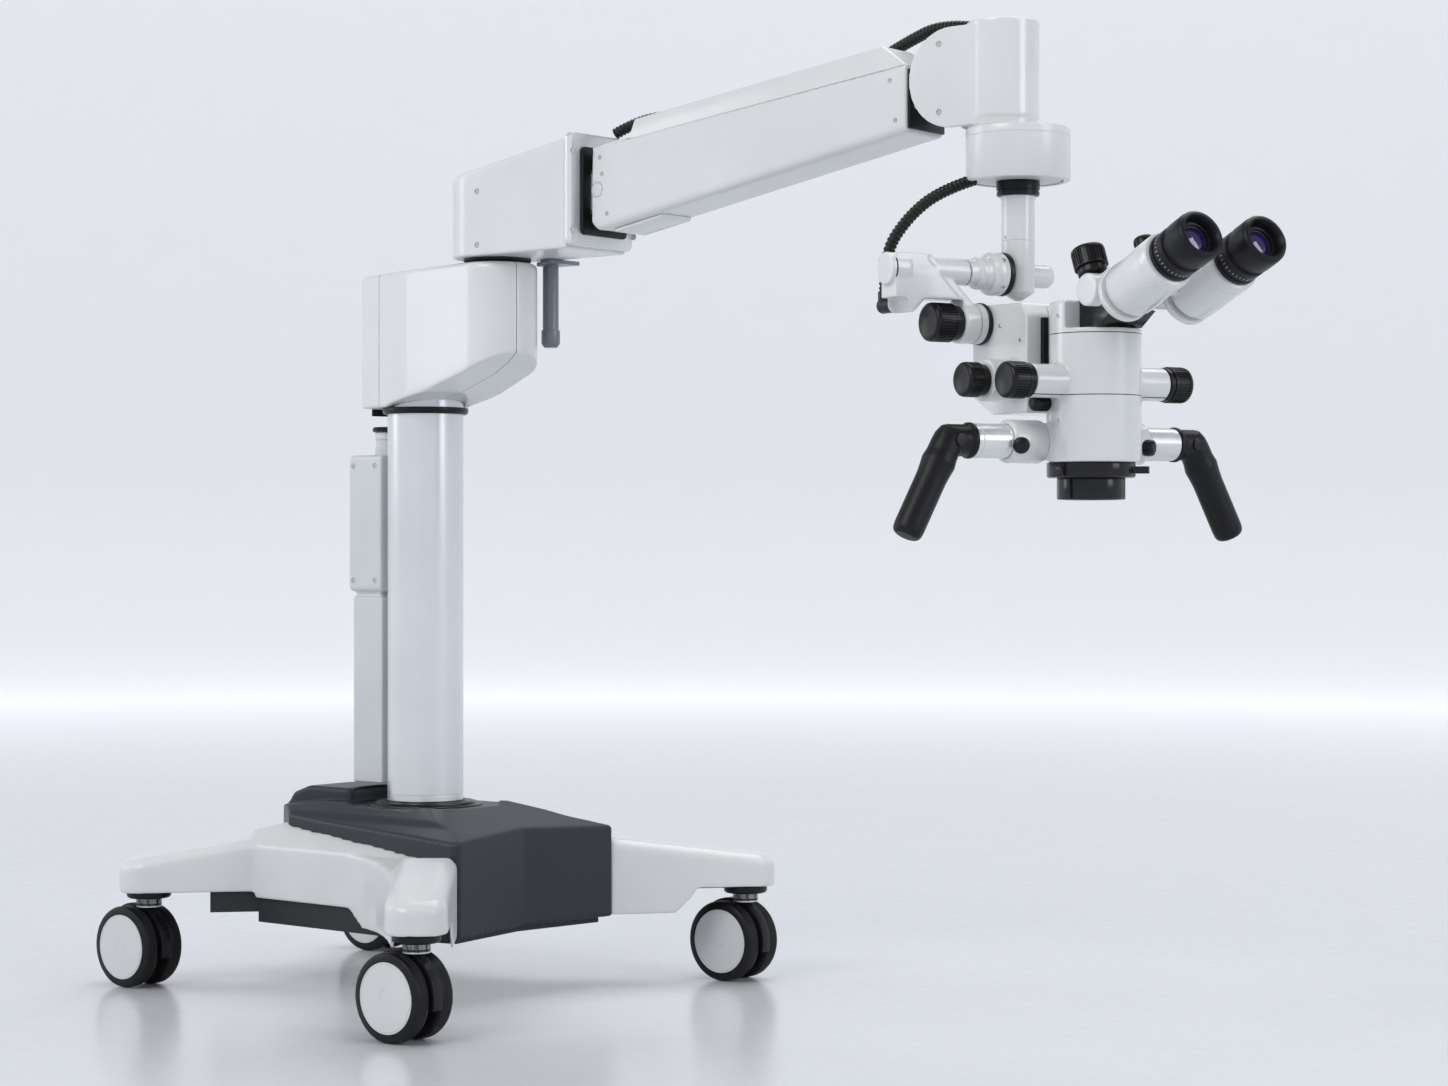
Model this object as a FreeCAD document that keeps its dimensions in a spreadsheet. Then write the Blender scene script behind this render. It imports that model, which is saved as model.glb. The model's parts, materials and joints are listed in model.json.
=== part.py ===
import FreeCAD, Part
import math
import os
import re

import Sketcher
from FreeCAD import Placement, Rotation
from FreeCAD import Vector as V

os.makedirs("parts", exist_ok=True)
doc = FreeCAD.newDocument("SurgicalMicroscope")

# Driving sizes in millimetres and degrees, grouped by assembly.
SIZES = {
    # shared fits
    "fit": 0.05, "gap": 0.3, "wall": 4,
    # castors
    "wheel_radius": 62.5, "wheel_width": 27, "wheel_gap": 20, "tyre_depth": 11, "axle_radius": 6,
    "castor_trail": 24, "hood_width": 18, "hood_radius": 66, "stem_radius": 19.5, "stem_base": 124,
    "kingpin_radius": 8, "kingpin_top": 184, "plate_radius": 34, "plate_thick": 12,
    # base: iron keel with an arm to each castor, two white covers and a dark middle
    "leg_bottom": 150, "leg_top": 190, "leg_bar_half": 36, "front_x": 341, "front_y": 366,
    "rear_x": 341, "rear_y": 260, "leg_half": 44, "front_splay": 49.3, "rear_splay": 47.3,
    "front_root": 222, "rear_root": 166, "end_top": 205, "front_root_top": 234,
    "rear_root_top": 232, "rear_low": 148, "root_low": 112, "waist_low": 138, "waist_half": 172,
    "waist_edge": 222, "waist_front": 10, "waist_rear": 200, "seam_top": 258, "seam_x": 165,
    "seam_y": 128, "panel_x": 232, "panel_mid": 204, "panel_low": 114, "panel_top": 256,
    "keel_low": 102, "keel_top": 154, "ballast_top": 180, "swivel_room": 92,
    "deck_rear": 250, "deck_rear_half": 60, "deck_top": 284, "deck_edge": 271, "deck_wall": 6,
    "hump_top": 303, "hump_half": 62, "recess_radius": 116, "recess_depth": 4,
    # column and its rear cable case
    "column_radius": 58.5, "column_bore": 52, "column_top": 1080, "foot_radius": 77,
    "foot_top": 297, "case_half": 39, "case_near": 58.8, "case_far": 132, "case_low_z": 314,
    "case_mid_z": 602, "case_top_z": 823, "case_low_half": 36, "case_low_far": 126,
    "gland_radius": 18, "gland_top": 859, "gland_cap": 22, "gland_x": 84,
    # lower arm
    "lower_yaw": 16, "lower_reach": 215, "lower_half": 73, "lower_tip_half": 59,
    "lower_rear": 90, "lower_bottom": 894, "lower_top": 1100, "tip_bottom": 950,
    "pin_radius": 20, "pin_bottom": 1000, "collar_radius": 66,
    # swing housing
    "swing_bottom": 1106, "swing_rear_top": 1222, "swing_front_top": 1266, "swing_half": 66,
    "swing_front": 400, "frame_thick": 12, "gasket_thick": 6, "disc_radius": 50,
    "tube_radius": 14, "tube_bottom": 978, "tube_reach": 84, "tube_angle": 62,
    # lift arm, measured in its own tilted frame
    "lift_x": 440, "lift_z": 1188, "end_x": 1045, "end_z": 1288, "arm_half": 45,
    "arm_top_left": 60, "arm_top_right": 34, "arm_low_left": 59, "arm_low_right": 53,
    "arm_face_right": 534, "ridge_left": 88, "ridge_right": 72, "ridge_half": 28,
    "arm_pin": 10, "tongue_half": 30, "arm_wall": 5,
    # knuckle and suspension
    "cheek_radius": 65, "cheek_thick": 10, "drum_x": 1097, "drum_radius": 47,
    "drum_bottom": 1233, "drum_height": 125, "neck_radius": 45, "neck_bottom": 1219,
    "post_x": 1120, "disc_top": 1218.7, "susp_radius": 67.5,
    "susp_under": 1150, "susp_collar": 28, "collar_bottom": 1131, "post_radius": 21.6,
    "post_bottom": 997,
    # head bracket
    "head_yaw": 22, "shaft_z": 1030, "shaft_radius": 9, "clamp_radius": 21, "bracket_thick": 30,
    "tilt_z": 965, "tilt_radius": 10, "boss_radius": 26, "knob_radius": 25, "knob_length": 48,
    # head carrier and microscope body
    "carrier_left": 56, "carrier_right": 41, "carrier_drum": 24, "carrier_front": 98,
    "carrier_bottom": 848, "rail_half": 20, "rail_depth": 10, "scope_x": 165, "scope_radius": 57,
    "scope_bottom": 785, "scope_top": 984, "objective_x": 156, "ring_radius": 55,
    "ring_bottom": 766, "lens_ring_radius": 42.5, "lens_ring_bottom": 739, "lens_radius": 36,
    "zoom_z": 884, "zoom_knob": 22.8, "small_knob": 10, "zoom_hub": 102, "focus_hub": 103,
    "lock_x": 140, "lock_z": 858,
    # head hose, in the head's frame
    "hose_exit_x": -28, "hose_exit_z": 1153, "hose_notch": 9.5, "hose_end_z": 1000,
    # handles
    "handle_x": 119, "handle_z": 811, "handle_tube": 21.5, "handle_clamp": 27,
    "clamp_start": 55, "clamp_end": 105, "tube_end": 155, "elbow_y": 188, "grip_y": 251,
    "grip_z": 693, "grip_radius": 19.8, "button_radius": 8,
    # binocular tube
    "hinge_x": 246, "hinge_z": 990, "hinge_radius": 20, "hinge_half": 75, "tongue_y": 20,
    "tube_rise": 22, "tube_drop": 22, "tube_spacing": 47.5, "barrel_radius": 35,
    "barrel_start": 36, "barrel_end": 128, "pivot_radius": 7, "ocular_radius": 31,
    "ocular_end": 192,
}

sheet = doc.addObject("Spreadsheet::Sheet", "Sizes")
for row, (name, value) in enumerate(SIZES.items(), 1):
    sheet.set(f"A{row}", name)
    sheet.set(f"B{row}", str(value))
    sheet.setAlias(f"B{row}", name)
doc.recompute()


def full(expression):
    """Turn bare size names into references to the sheet."""
    def swap(match):
        word = match.group(0)
        return f"Sizes.{word}" if word in SIZES else word
    return re.sub(r"[A-Za-z_]\w*", swap, str(expression))


def num(expression):
    """Value of an expression written with bare size names."""
    value = sheet.evalExpression(full(expression))
    return float(getattr(value, "Value", value))


class Piece:
    """A PartDesign body whose sketches and features are driven by the sheet."""

    def __init__(self, label):
        self.body = doc.addObject("PartDesign::Body", label)
        self.body.Label = label
        self.label = label
        self.count = 0

    def sketch(self, plane, shift):
        self.count += 1
        name = f"{self.label}_s{self.count}"
        drawing = self.body.newObject("Sketcher::SketchObject", name)
        for feature in self.body.Origin.OriginFeatures:
            if feature.Role == plane + "_Plane":
                drawing.AttachmentSupport = [(feature, "")]
        drawing.MapMode = "FlatFace"
        for axis, expression in zip("xyz", shift):
            if str(expression) != "0":
                drawing.setExpression(f".AttachmentOffset.Base.{axis}", full(expression))
        return drawing

    def pin_point(self, drawing, index, point, pair):
        """Hold one sketch point at the place its two expressions give."""
        for kind, axis, expression in (("DistanceX", -2, pair[0]), ("DistanceY", -1, pair[1])):
            value = num(expression)
            if abs(value) < 1e-9:
                drawing.addConstraint(Sketcher.Constraint("PointOnObject", index, point, axis))
            else:
                number = drawing.addConstraint(
                    Sketcher.Constraint(kind, -1, 1, index, point, value))
                drawing.setExpression(f"Constraints[{number}]", full(expression))

    def outline(self, drawing, points):
        places = [V(num(a), num(b), 0) for a, b in points]
        total = len(places)
        for index in range(total):
            drawing.addGeometry(Part.LineSegment(places[index], places[(index + 1) % total]))
        for index in range(total):
            drawing.addConstraint(
                Sketcher.Constraint("Coincident", index, 2, (index + 1) % total, 1))
            self.pin_point(drawing, index, 1, points[index])

    def feature(self, kind, drawing, **values):
        self.count += 1
        item = self.body.newObject(f"PartDesign::{kind}", f"{self.label}_f{self.count}")
        item.Profile = drawing
        for key, value in values.items():
            if isinstance(value, str):
                item.setExpression(key, full(value))
            else:
                setattr(item, key, value)
        self.body.Tip = item
        return item

    def run(self, drawing, depth, mid, cut):
        if cut:
            if depth is None:
                return self.feature("Pocket", drawing, Type=1, Midplane=True)
            return self.feature("Pocket", drawing, Length=depth, Midplane=mid, Reversed=not mid)
        return self.feature("Pad", drawing, Length=depth, Midplane=mid)

    def poly(self, plane, points, depth=None, at="0", mid=False, cut=False):
        """Prism of a polygon; `at` moves its plane along the plane's normal."""
        drawing = self.sketch(plane, ("0", "0", at))
        self.outline(drawing, points)
        self.run(drawing, depth, mid, cut)
        return self

    def disc(self, plane, centre, radius, depth=None, at="0", mid=False, cut=False):
        """Round boss or bore."""
        drawing = self.sketch(plane, (centre[0], centre[1], at))
        drawing.addGeometry(Part.Circle(V(0, 0, 0), V(0, 0, 1), num(radius)))
        drawing.addConstraint(Sketcher.Constraint("Coincident", 0, 3, -1, 1))
        number = drawing.addConstraint(Sketcher.Constraint("Radius", 0, num(radius)))
        drawing.setExpression(f"Constraints[{number}]", full(radius))
        self.run(drawing, depth, mid, cut)
        return self

    def spin(self, points, plane="XZ", shift=("0", "0", "0"), cut=False):
        """Turned shape about the vertical line of its sketch."""
        drawing = self.sketch(plane, shift)
        self.outline(drawing, points)
        item = self.feature("Groove" if cut else "Revolution", drawing, Angle=360.0)
        item.ReferenceAxis = (drawing, ["V_Axis"])
        return self

    def round(self, radius, pick, kind="Fillet"):
        """Round or bevel the edges that the test picks."""
        doc.recompute()
        base = self.body.Tip
        names = [f"Edge{i}" for i, edge in enumerate(base.Shape.Edges, 1) if pick(edge)]
        self.count += 1
        item = self.body.newObject(f"PartDesign::{kind}", f"{self.label}_f{self.count}")
        item.Base = (base, names)
        item.setExpression("Radius" if kind == "Fillet" else "Size", full(radius))
        self.body.Tip = item
        return self

    def place(self, x="0", y="0", z="0", turn=None):
        return settle(self.body, x, y, z, turn)


def settle(item, x="0", y="0", z="0", turn=None):
    """Bind an object's place to the sheet and turn it."""
    if turn is not None:
        item.Placement = Placement(V(0, 0, 0), turn)
    for axis, expression in zip("xyz", (x, y, z)):
        if str(expression) != "0":
            item.setExpression(f".Placement.Base.{axis}", full(expression))
    return item


def group(label, pieces):
    """One node made of several separate solids."""
    item = doc.addObject("Part::Compound", label)
    item.Label = label
    item.Links = pieces
    return item


def along(edge, direction):
    """True for a straight edge parallel to a direction."""
    if edge.Curve.TypeId != "Part::GeomLine":
        return False
    return abs(abs(edge.Curve.Direction.dot(direction)) - 1) < 1e-6


def middle(edge):
    return edge.CenterOfMass


X_AXIS = V(1, 0, 0)
Y_AXIS = V(0, 1, 0)
Z_AXIS = V(0, 0, 1)
nodes = []


def keep(item):
    nodes.append(item)
    return item


# Places shared by several assemblies.
LOWER_TURN = Rotation(Z_AXIS, -num("lower_yaw"))
PIVOT_X = "lower_reach * cos(lower_yaw * 1deg)"
PIVOT_Y = "-lower_reach * sin(lower_yaw * 1deg)"
HEAD_TURN = Rotation(Z_AXIS, -num("head_yaw"))
SIDES = {"right": -1, "left": 1}
CORNERS = {
    "front_right": ("front_x", "-front_y"), "front_left": ("front_x", "front_y"),
    "rear_right": ("-rear_x", "-rear_y"), "rear_left": ("-rear_x", "rear_y"),
}


# Base: iron keel with a box arm out to each castor.
LEGS = {}
for side_name, side in SIDES.items():
    LEGS[f"front_{side_name}"] = Rotation(Z_AXIS, side * num("front_splay"))
    LEGS[f"rear_{side_name}"] = Rotation(Z_AXIS, side * (180 - num("rear_splay")))


def fused(label, pieces):
    """One solid made of several bodies."""
    item = doc.addObject("Part::MultiFuse", label)
    item.Label = label
    item.Shapes = pieces
    item.Refine = True
    return item


def both_sides(points):
    """Close a plan given from the front middle to the rear middle by its mirror image."""
    return [(x, f"-({y})") for x, y in points] + [(x, y) for x, y in reversed(points) if y != "0"]


keel = Piece("keel")
keel.poly("XY", both_sides([("panel_mid - 12", "0"), ("panel_x - 16", "waist_half - 14"),
                            ("panel_x - 44", "waist_half - 8"),
                            ("-waist_rear + 2", "waist_half - 8"),
                            ("-deck_rear + 14", "deck_rear_half")]),
          "keel_top - keel_low", at="keel_low")
keel.poly("XY", both_sides([("panel_mid - 18", "waist_half - 22"),
                            ("-waist_rear + 12", "waist_half - 22")]),
          "ballast_top - keel_top + 1", at="keel_top - 1")
keel.disc("XY", ("0", "0"), "column_radius + fit", cut=True)
keel.disc("XY", ("0", "0"), "column_radius + 6", "9", at="keel_low")
keel.place()

bars = []
for corner, (px, py) in CORNERS.items():
    root = "front_root" if corner.startswith("front") else "rear_root"
    bar = Piece(f"leg_{corner}")
    bar.poly("XY", [(f"-{root} - 60", "-leg_bar_half"), ("0", "-leg_bar_half"),
                    ("0", "leg_bar_half"), (f"-{root} - 60", "leg_bar_half")],
             "leg_top - leg_bottom", at="leg_bottom")
    bar.disc("XY", ("0", "0"), "leg_bar_half", "leg_top - leg_bottom", at="leg_bottom")
    if root == "rear_root":
        bar.poly("XY", [("-rear_root - 30", "-leg_bar_half"), ("-swivel_room - 2", "-leg_bar_half"),
                        ("-swivel_room - 2", "leg_bar_half"), ("-rear_root - 30", "leg_bar_half")],
                 "leg_bottom + 1 - root_low - 5", at="root_low + 5")
    bar.disc("XY", ("0", "0"), "kingpin_radius + fit", cut=True)
    bar.place(px, py, turn=LEGS[corner])
    bars.append(bar.body)
keep(fused("base_chassis", [keel.body] + bars))


# White covers: a waist between two legs, open towards the middle and below.
def cover_waist(label, side, inset, low, high):
    """Waist of a cover, or the space inside it when it is inset and left open."""
    def out(value):
        return f"{side} * ({value} - {inset})"
    open_by = f"3 * {inset}"
    piece = Piece(label)
    piece.poly("XY", [
        (f"panel_x - {inset}", f"{side} * (waist_half - {open_by})"),
        (f"panel_x - 3 - {inset}", out("waist_half + 132")), ("185", out("waist_half + 93")),
        ("140", out("waist_half + 58")), ("95", out("waist_half + 28")),
        ("50", out("waist_half + 9")), ("waist_front", out("waist_half")),
        ("-waist_rear", out("waist_half")),
        (f"-waist_rear - 68 + {inset}", f"{side} * (waist_half - 56 + {inset})"),
        (f"-deck_rear + {inset}", f"{side} * (deck_rear_half - {open_by})"),
        ("-seam_x", f"{side} * (seam_y - {open_by})")], f"({high}) - ({low})", at=low)
    return piece


def cover_leg(label, corner, inset, low_of, high):
    """Leg of a cover in its own frame, running out along X to the castor."""
    front = corner.startswith("front")
    root = "front_root" if front else "rear_root"
    root_top = f"{root}_top"
    wide = f"leg_half - {inset}"
    piece = Piece(label)
    if high is None:
        side_view = [(f"-{root}", low_of), ("-swivel_room - 26", low_of),
                     ("-swivel_room", "waist_low - 2"), ("-swivel_room + 8", "leg_bottom"),
                     ("leg_half + 1", "leg_bottom"), ("leg_half + 1", "end_top - 7"),
                     ("0", "end_top"), (f"-{root}", root_top)]
        if not front:
            side_view = [(f"-{root}", "rear_low"), ("leg_half + 1", "rear_low")] + side_view[5:]
        piece.poly("XZ", side_view, f"2 * ({wide})", mid=True)
        piece.round("leg_half - 6", lambda e: along(e, Z_AXIS) and middle(e).x > 40)
        piece.round("11", lambda e: middle(e).z > num("end_top") - 9 and middle(e).x > -num(root) + 2
                    and not along(e, Y_AXIS), "Chamfer")
    else:
        piece.poly("XY", [(f"-{root} - 20", f"-({wide})"), ("0", f"-({wide})"), ("0", wide),
                          (f"-{root} - 20", wide)], f"({high}) - ({low_of})", at=low_of)
        piece.disc("XY", ("0", "0"), wide, f"({high}) - ({low_of})", at=low_of)
    px, py = CORNERS[corner]
    piece.place(px, py, turn=LEGS[corner])
    return piece


for side_name, side in SIDES.items():
    waist = cover_waist(f"waist_{side_name}", side, "0", "root_low", "seam_top + 4")
    waist.poly("YZ", [(f"{side} * 90", "seam_top + 5"),
                      (f"{side} * (seam_y - 6)", "seam_top + 3"),
                      (f"{side} * waist_half", "waist_edge"),
                      (f"{side} * (waist_half + 140)", "end_top"),
                      (f"{side} * (waist_half + 140)", "seam_top + 5")], cut=True)
    waist.poly("XZ", [("-400", "root_low - 1"), ("-400", "rear_low"), ("-waist_rear - 2", "rear_low"),
                      ("-waist_rear + 2", "waist_low"), ("waist_front - 4", "waist_low"),
                      ("waist_front + 30", "root_low + 1"), ("waist_front + 30", "root_low - 1")],
               cut=True)
    waist.place()
    shell = [waist.body]
    space = [cover_waist(f"waist_space_{side_name}", side, "wall", "root_low - 2",
                         "leg_top + gap").place()]
    for end in ("front", "rear"):
        corner = f"{end}_{side_name}"
        shell.append(cover_leg(f"cover_leg_{corner}", corner, "0", "root_low", None).body)
        space.append(cover_leg(f"leg_space_{corner}", corner, "wall", "root_low - 2",
                               "leg_top + gap").body)
    cover = doc.addObject("Part::Cut", f"base_cover_{side_name}")
    cover.Label = f"base_cover_{side_name}"
    cover.Base = fused(f"cover_skin_{side_name}", shell)
    cover.Tool = fused(f"cover_space_{side_name}", space)
    keep(cover)

# Dark middle of the base: a deck over the keel, with a front and a rear panel.
deck_plan = both_sides([("panel_mid", "0"), ("panel_x", "waist_half - gap"),
                        ("-seam_x", "seam_y - gap"), ("-deck_rear", "deck_rear_half - gap")])
inner_plan = both_sides([("panel_mid - deck_wall", "0"), ("panel_x - deck_wall", "waist_half - 16"),
                         ("-seam_x + deck_wall", "seam_y - 9"),
                         ("-deck_rear + deck_wall", "deck_rear_half - 9")])
deck = Piece("base_center_cover")
deck.poly("XY", deck_plan, "hump_top - leg_top - gap", at="leg_top + gap")
deck.poly("XZ", [("-deck_rear - 1", "deck_edge"), ("-130", "deck_top"), ("90", "deck_top"),
                 ("panel_mid", "panel_top"), ("panel_x + 1", "panel_top - 8"),
                 ("panel_x + 1", "hump_top + 1"), ("-deck_rear - 1", "hump_top + 1")], cut=True)
for side in SIDES.values():
    deck.poly("YZ", [(f"{side} * 88", "deck_top + 1"), (f"{side} * (seam_y - 8)", "deck_edge"),
                     (f"{side} * (seam_y + 4)", "deck_edge - 9"),
                     (f"{side} * (waist_half + 8)", "panel_top - 12"),
                     (f"{side} * (waist_half + 8)", "deck_top + 1")], cut=True)
deck.poly("XY", inner_plan, "panel_top - 26 - leg_top", at="leg_top - 1", cut=True)
panel_drop = "leg_top - panel_low + 2"
deck.poly("XY", [("panel_mid", "0"), ("panel_x", "-waist_half + gap"),
                 ("panel_x - deck_wall", "-waist_half + gap"), ("panel_mid - deck_wall", "0"),
                 ("panel_x - deck_wall", "waist_half - gap"), ("panel_x", "waist_half - gap")],
          panel_drop, at="panel_low")
deck.poly("XY", [("-deck_rear", "-deck_rear_half + gap"), ("-deck_rear", "deck_rear_half - gap"),
                 ("-deck_rear + deck_wall", "deck_rear_half - gap"),
                 ("-deck_rear + deck_wall", "-deck_rear_half + gap")], panel_drop, at="panel_low")
deck.poly("XZ", [("-deck_rear + 6", "deck_edge - 4"), ("-deck_rear + 26", "hump_top - 11"),
                 ("-deck_rear + 58", "hump_top"), ("-104", "hump_top"), ("-100", "deck_edge - 4")],
          "2 * hump_half", mid=True)
for side in SIDES.values():
    deck.poly("XY", [("panel_x - 7", f"{side} * (waist_half - 3 - gap)"),
                     ("panel_x + 2", f"{side} * (waist_half - 3 - gap)"),
                     ("panel_x + 2", f"{side} * (waist_half + 2)"),
                     ("panel_x - 7", f"{side} * (waist_half + 2)")], cut=True)
deck.disc("XY", ("0", "0"), "recess_radius", "recess_depth + 30", at="deck_top - recess_depth",
          cut=True)
deck.disc("XY", ("0", "0"), "column_radius + 1", cut=True)
deck.place()
keep(deck.body)

foot = Piece("column_foot_ring")
foot.spin([("column_radius + gap", "deck_top - recess_depth"),
           ("foot_radius", "deck_top - recess_depth"), ("foot_radius", "foot_top - 6"),
           ("foot_radius - 8", "foot_top"), ("column_radius + gap", "foot_top")])
foot.place()
keep(foot.body)

column = Piece("column_tube")
column.spin([("column_bore", "keel_low + 9"), ("column_radius", "keel_low + 9"),
             ("column_radius", "column_top"), ("column_bore", "column_top")])
column.place()
keep(column.body)

cases = []
for label, half, far, low, high in (
        ("case_low", "case_low_half", "case_low_far", "case_low_z", "case_mid_z"),
        ("case_high", "case_half", "case_far", "case_mid_z + 9", "case_top_z")):
    case = Piece(label)
    case.poly("XY", [(f"-({far})", f"-({half})"), ("-case_near", f"-({half})"),
                     ("-case_near", half), (f"-({far})", half)], f"{high} - ({low})", at=low)
    case.disc("XY", ("0", "0"), "column_radius + gap", cut=True)
    case.round("9", lambda e: along(e, Z_AXIS) and middle(e).x < -100)
    if label == "case_high":
        case.round("7", lambda e: along(e, X_AXIS))
        case.poly("XY", [("-case_far + 10", "-case_half + 9"), ("-case_near - 8", "-case_half + 9"),
                         ("-case_near - 8", "case_half - 9"), ("-case_far + 10", "case_half - 9")],
                  "10", at="case_mid_z")
    case.place()
    cases.append(case.body)
keep(group("cable_case", cases))

gland = Piece("cable_gland")
gland.spin([("0", "case_top_z"), ("gland_radius", "case_top_z"), ("gland_radius", "gland_top"),
            ("gland_cap", "gland_top"), ("gland_cap", "gland_top + 8"), ("0", "gland_top + 8")],
           shift=("-gland_x", "0", "0"))
gland.place()
keep(gland.body)

plates = []
for corner, (px, py) in CORNERS.items():
    plate = Piece(f"plate_{corner}")
    plate.spin([("kingpin_radius + fit", "leg_bottom - plate_thick"),
                ("plate_radius - 3", "leg_bottom - plate_thick"),
                ("plate_radius", "leg_bottom - plate_thick + 3"),
                ("plate_radius", "leg_bottom"), ("kingpin_radius + fit", "leg_bottom")])
    plate.place(px, py)
    plates.append(plate.body)
keep(group("castor_plates", plates))


# Castors: forked hood on a kingpin, twin wheels on one axle.
for corner, (px, py) in CORNERS.items():
    fork = Piece(f"castor_hood_{corner}")
    fork.disc("XZ", ("-castor_trail", "wheel_radius"), "hood_radius", "hood_width", mid=True)
    axle = ("-castor_trail", "wheel_radius")
    fork.poly("XZ", [(f"{axle[0]} - 17", f"{axle[1]} - 3"), (f"{axle[0]} - 78", f"{axle[1]} + 62"),
                     (f"{axle[0]} - 78", f"{axle[1]} - 80"), (f"{axle[0]} + 80", f"{axle[1]} - 80"),
                     (f"{axle[0]} + 80", f"{axle[1]} - 16"), (f"{axle[0]} + 26", f"{axle[1]} - 12"),
                     (f"{axle[0]} + 9", f"{axle[1]} - 17"), (f"{axle[0]} - 9", f"{axle[1]} - 16")],
              cut=True)
    fork.disc("XY", ("0", "0"), "stem_radius", "leg_bottom - plate_thick - gap - stem_base - 1.5",
              at="stem_base + 1.5")
    fork.disc("XY", ("0", "0"), "kingpin_radius", "kingpin_top - stem_base", at="stem_base")
    fork.disc("XZ", ("-castor_trail", "wheel_radius"), "axle_radius + fit", cut=True)
    fork.place(px, py)
    keep(fork.body)

    hub = Piece(f"hub_{corner}")
    rim = "wheel_radius - tyre_depth"
    edge = "wheel_gap / 2 + wheel_width"
    hub.spin([("0", f"-({edge})"), (f"{rim} - 3", f"-({edge})"), (rim, f"-({edge}) + 2"),
              (rim, "-wheel_gap / 2"), ("axle_radius", "-wheel_gap / 2"),
              ("axle_radius", "wheel_gap / 2"), (rim, "wheel_gap / 2"), (rim, f"{edge} - 2"),
              (f"{rim} - 3", edge), ("0", edge)], plane="XY", shift=("0", "0", "0"))
    hub.place(f"{px} - castor_trail", py, "wheel_radius")
    wheel = [hub.body]
    for side_name, side in SIDES.items():
        tyre = Piece(f"tyre_{corner}_{side_name}")
        near = f"{side} * (wheel_gap / 2 + 0.5)"
        far = f"{side} * ({edge} - 1)"
        tyre.spin([(rim, near), ("wheel_radius - 5", near),
                   ("wheel_radius", f"{near} + {side} * 6"), ("wheel_radius", f"{far} - {side} * 6"),
                   ("wheel_radius - 5", far), (rim, far)], plane="XY")
        tyre.place(f"{px} - castor_trail", py, "wheel_radius")
        wheel.append(tyre.body)
    keep(group(f"castor_wheels_{corner}", wheel))


# Lower arm: rounded housing turning on the column.
lower = Piece("lower_arm_housing")
tip_x = "lower_reach + lower_tip_half"
lower.poly("XY", [("70", "lower_half"), ("-lower_rear", "lower_half"), ("-lower_rear", "-lower_half"),
                  ("70", "-lower_half"), ("lower_reach", "-lower_tip_half"),
                  (tip_x, "-lower_tip_half"), (tip_x, "lower_tip_half"),
                  ("lower_reach", "lower_tip_half")], "lower_top - lower_bottom", at="lower_bottom")
lower.round("lower_tip_half - 0.1", lambda e: along(e, Z_AXIS) and middle(e).x > num(tip_x) - 1)
lower.round("28", lambda e: along(e, Z_AXIS) and middle(e).x < -num("lower_rear") + 1)
lower.poly("XZ", [("-6", "lower_bottom - 1"), ("19", "lower_bottom + 5"),
                  ("112", "lower_bottom + 19"), ("lower_reach", "tip_bottom - 12"),
                  ("lower_reach + 35", "tip_bottom + 2"), ("300", "tip_bottom + 30"),
                  ("300", "lower_bottom - 1")], cut=True)
lower.round("9", lambda e: middle(e).z > num("lower_top") - 0.01)
lower.disc("XY", ("0", "0"), "column_radius + fit", "column_top - lower_bottom + 4",
           at="lower_bottom", cut=True)
lower.disc("XY", ("lower_reach", "0"), "pin_radius + fit", "lower_top - pin_bottom + 4",
           at="pin_bottom - 4", cut=True)
lower.place(turn=LOWER_TURN)
keep(lower.body)

trim_pieces = []
collar = Piece("column_collar")
collar.spin([("column_radius + fit", "lower_bottom - 10"), ("collar_radius - 3", "lower_bottom - 10"),
             ("collar_radius", "lower_bottom - 7"), ("collar_radius", "lower_bottom"),
             ("column_radius + fit", "lower_bottom")])
collar.place(turn=LOWER_TURN)
trim_pieces.append(collar.body)
strip = Piece("rear_strip")
strip.poly("XY", [("-lower_rear - 4", "-lower_half + 30"), ("-lower_rear", "-lower_half + 30"),
                  ("-lower_rear", "lower_half - 30"), ("-lower_rear - 4", "lower_half - 30")],
           "lower_top - lower_bottom - 8", at="lower_bottom - 10")
strip.place(turn=LOWER_TURN)
trim_pieces.append(strip.body)
keep(group("lower_arm_trim", trim_pieces))


# Swing housing on the lower arm's outer pivot.
def swing_place(piece):
    piece.place(PIVOT_X, PIVOT_Y)
    return keep(piece.body)


swing = Piece("swing_housing")
reach = f"swing_front - ({PIVOT_X})"
swing.poly("XY", [(reach, "-swing_half"), (reach, "swing_half"), ("-swing_half", "swing_half"),
                  ("-swing_half", "-swing_half")], "swing_front_top - swing_bottom + 2",
           at="swing_bottom")
swing.round("swing_half - 0.1", lambda e: along(e, Z_AXIS) and middle(e).x < 0)
swing.poly("XZ", [("-swing_half - 1", "swing_rear_top"), ("-10", "swing_rear_top + 8"),
                  (f"{reach} + 1", "swing_front_top"), (f"{reach} + 1", "swing_front_top + 9"),
                  ("-swing_half - 1", "swing_front_top + 9")], cut=True)
swing.round("7", lambda e: middle(e).z > num("swing_rear_top") - 2 and not along(e, Z_AXIS)
            and not along(e, Y_AXIS))
swing.disc("XY", ("0", "0"), "pin_radius", "swing_bottom - pin_bottom + 1", at="pin_bottom")
swing_place(swing)

ring = Piece("swing_pivot_ring")
ring.spin([("pin_radius + gap", "lower_top + gap"), ("disc_radius - 3", "lower_top + gap"),
           ("disc_radius", "lower_top + 3"), ("disc_radius", "swing_bottom"),
           ("pin_radius + gap", "swing_bottom")])
swing_place(ring)

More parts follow.
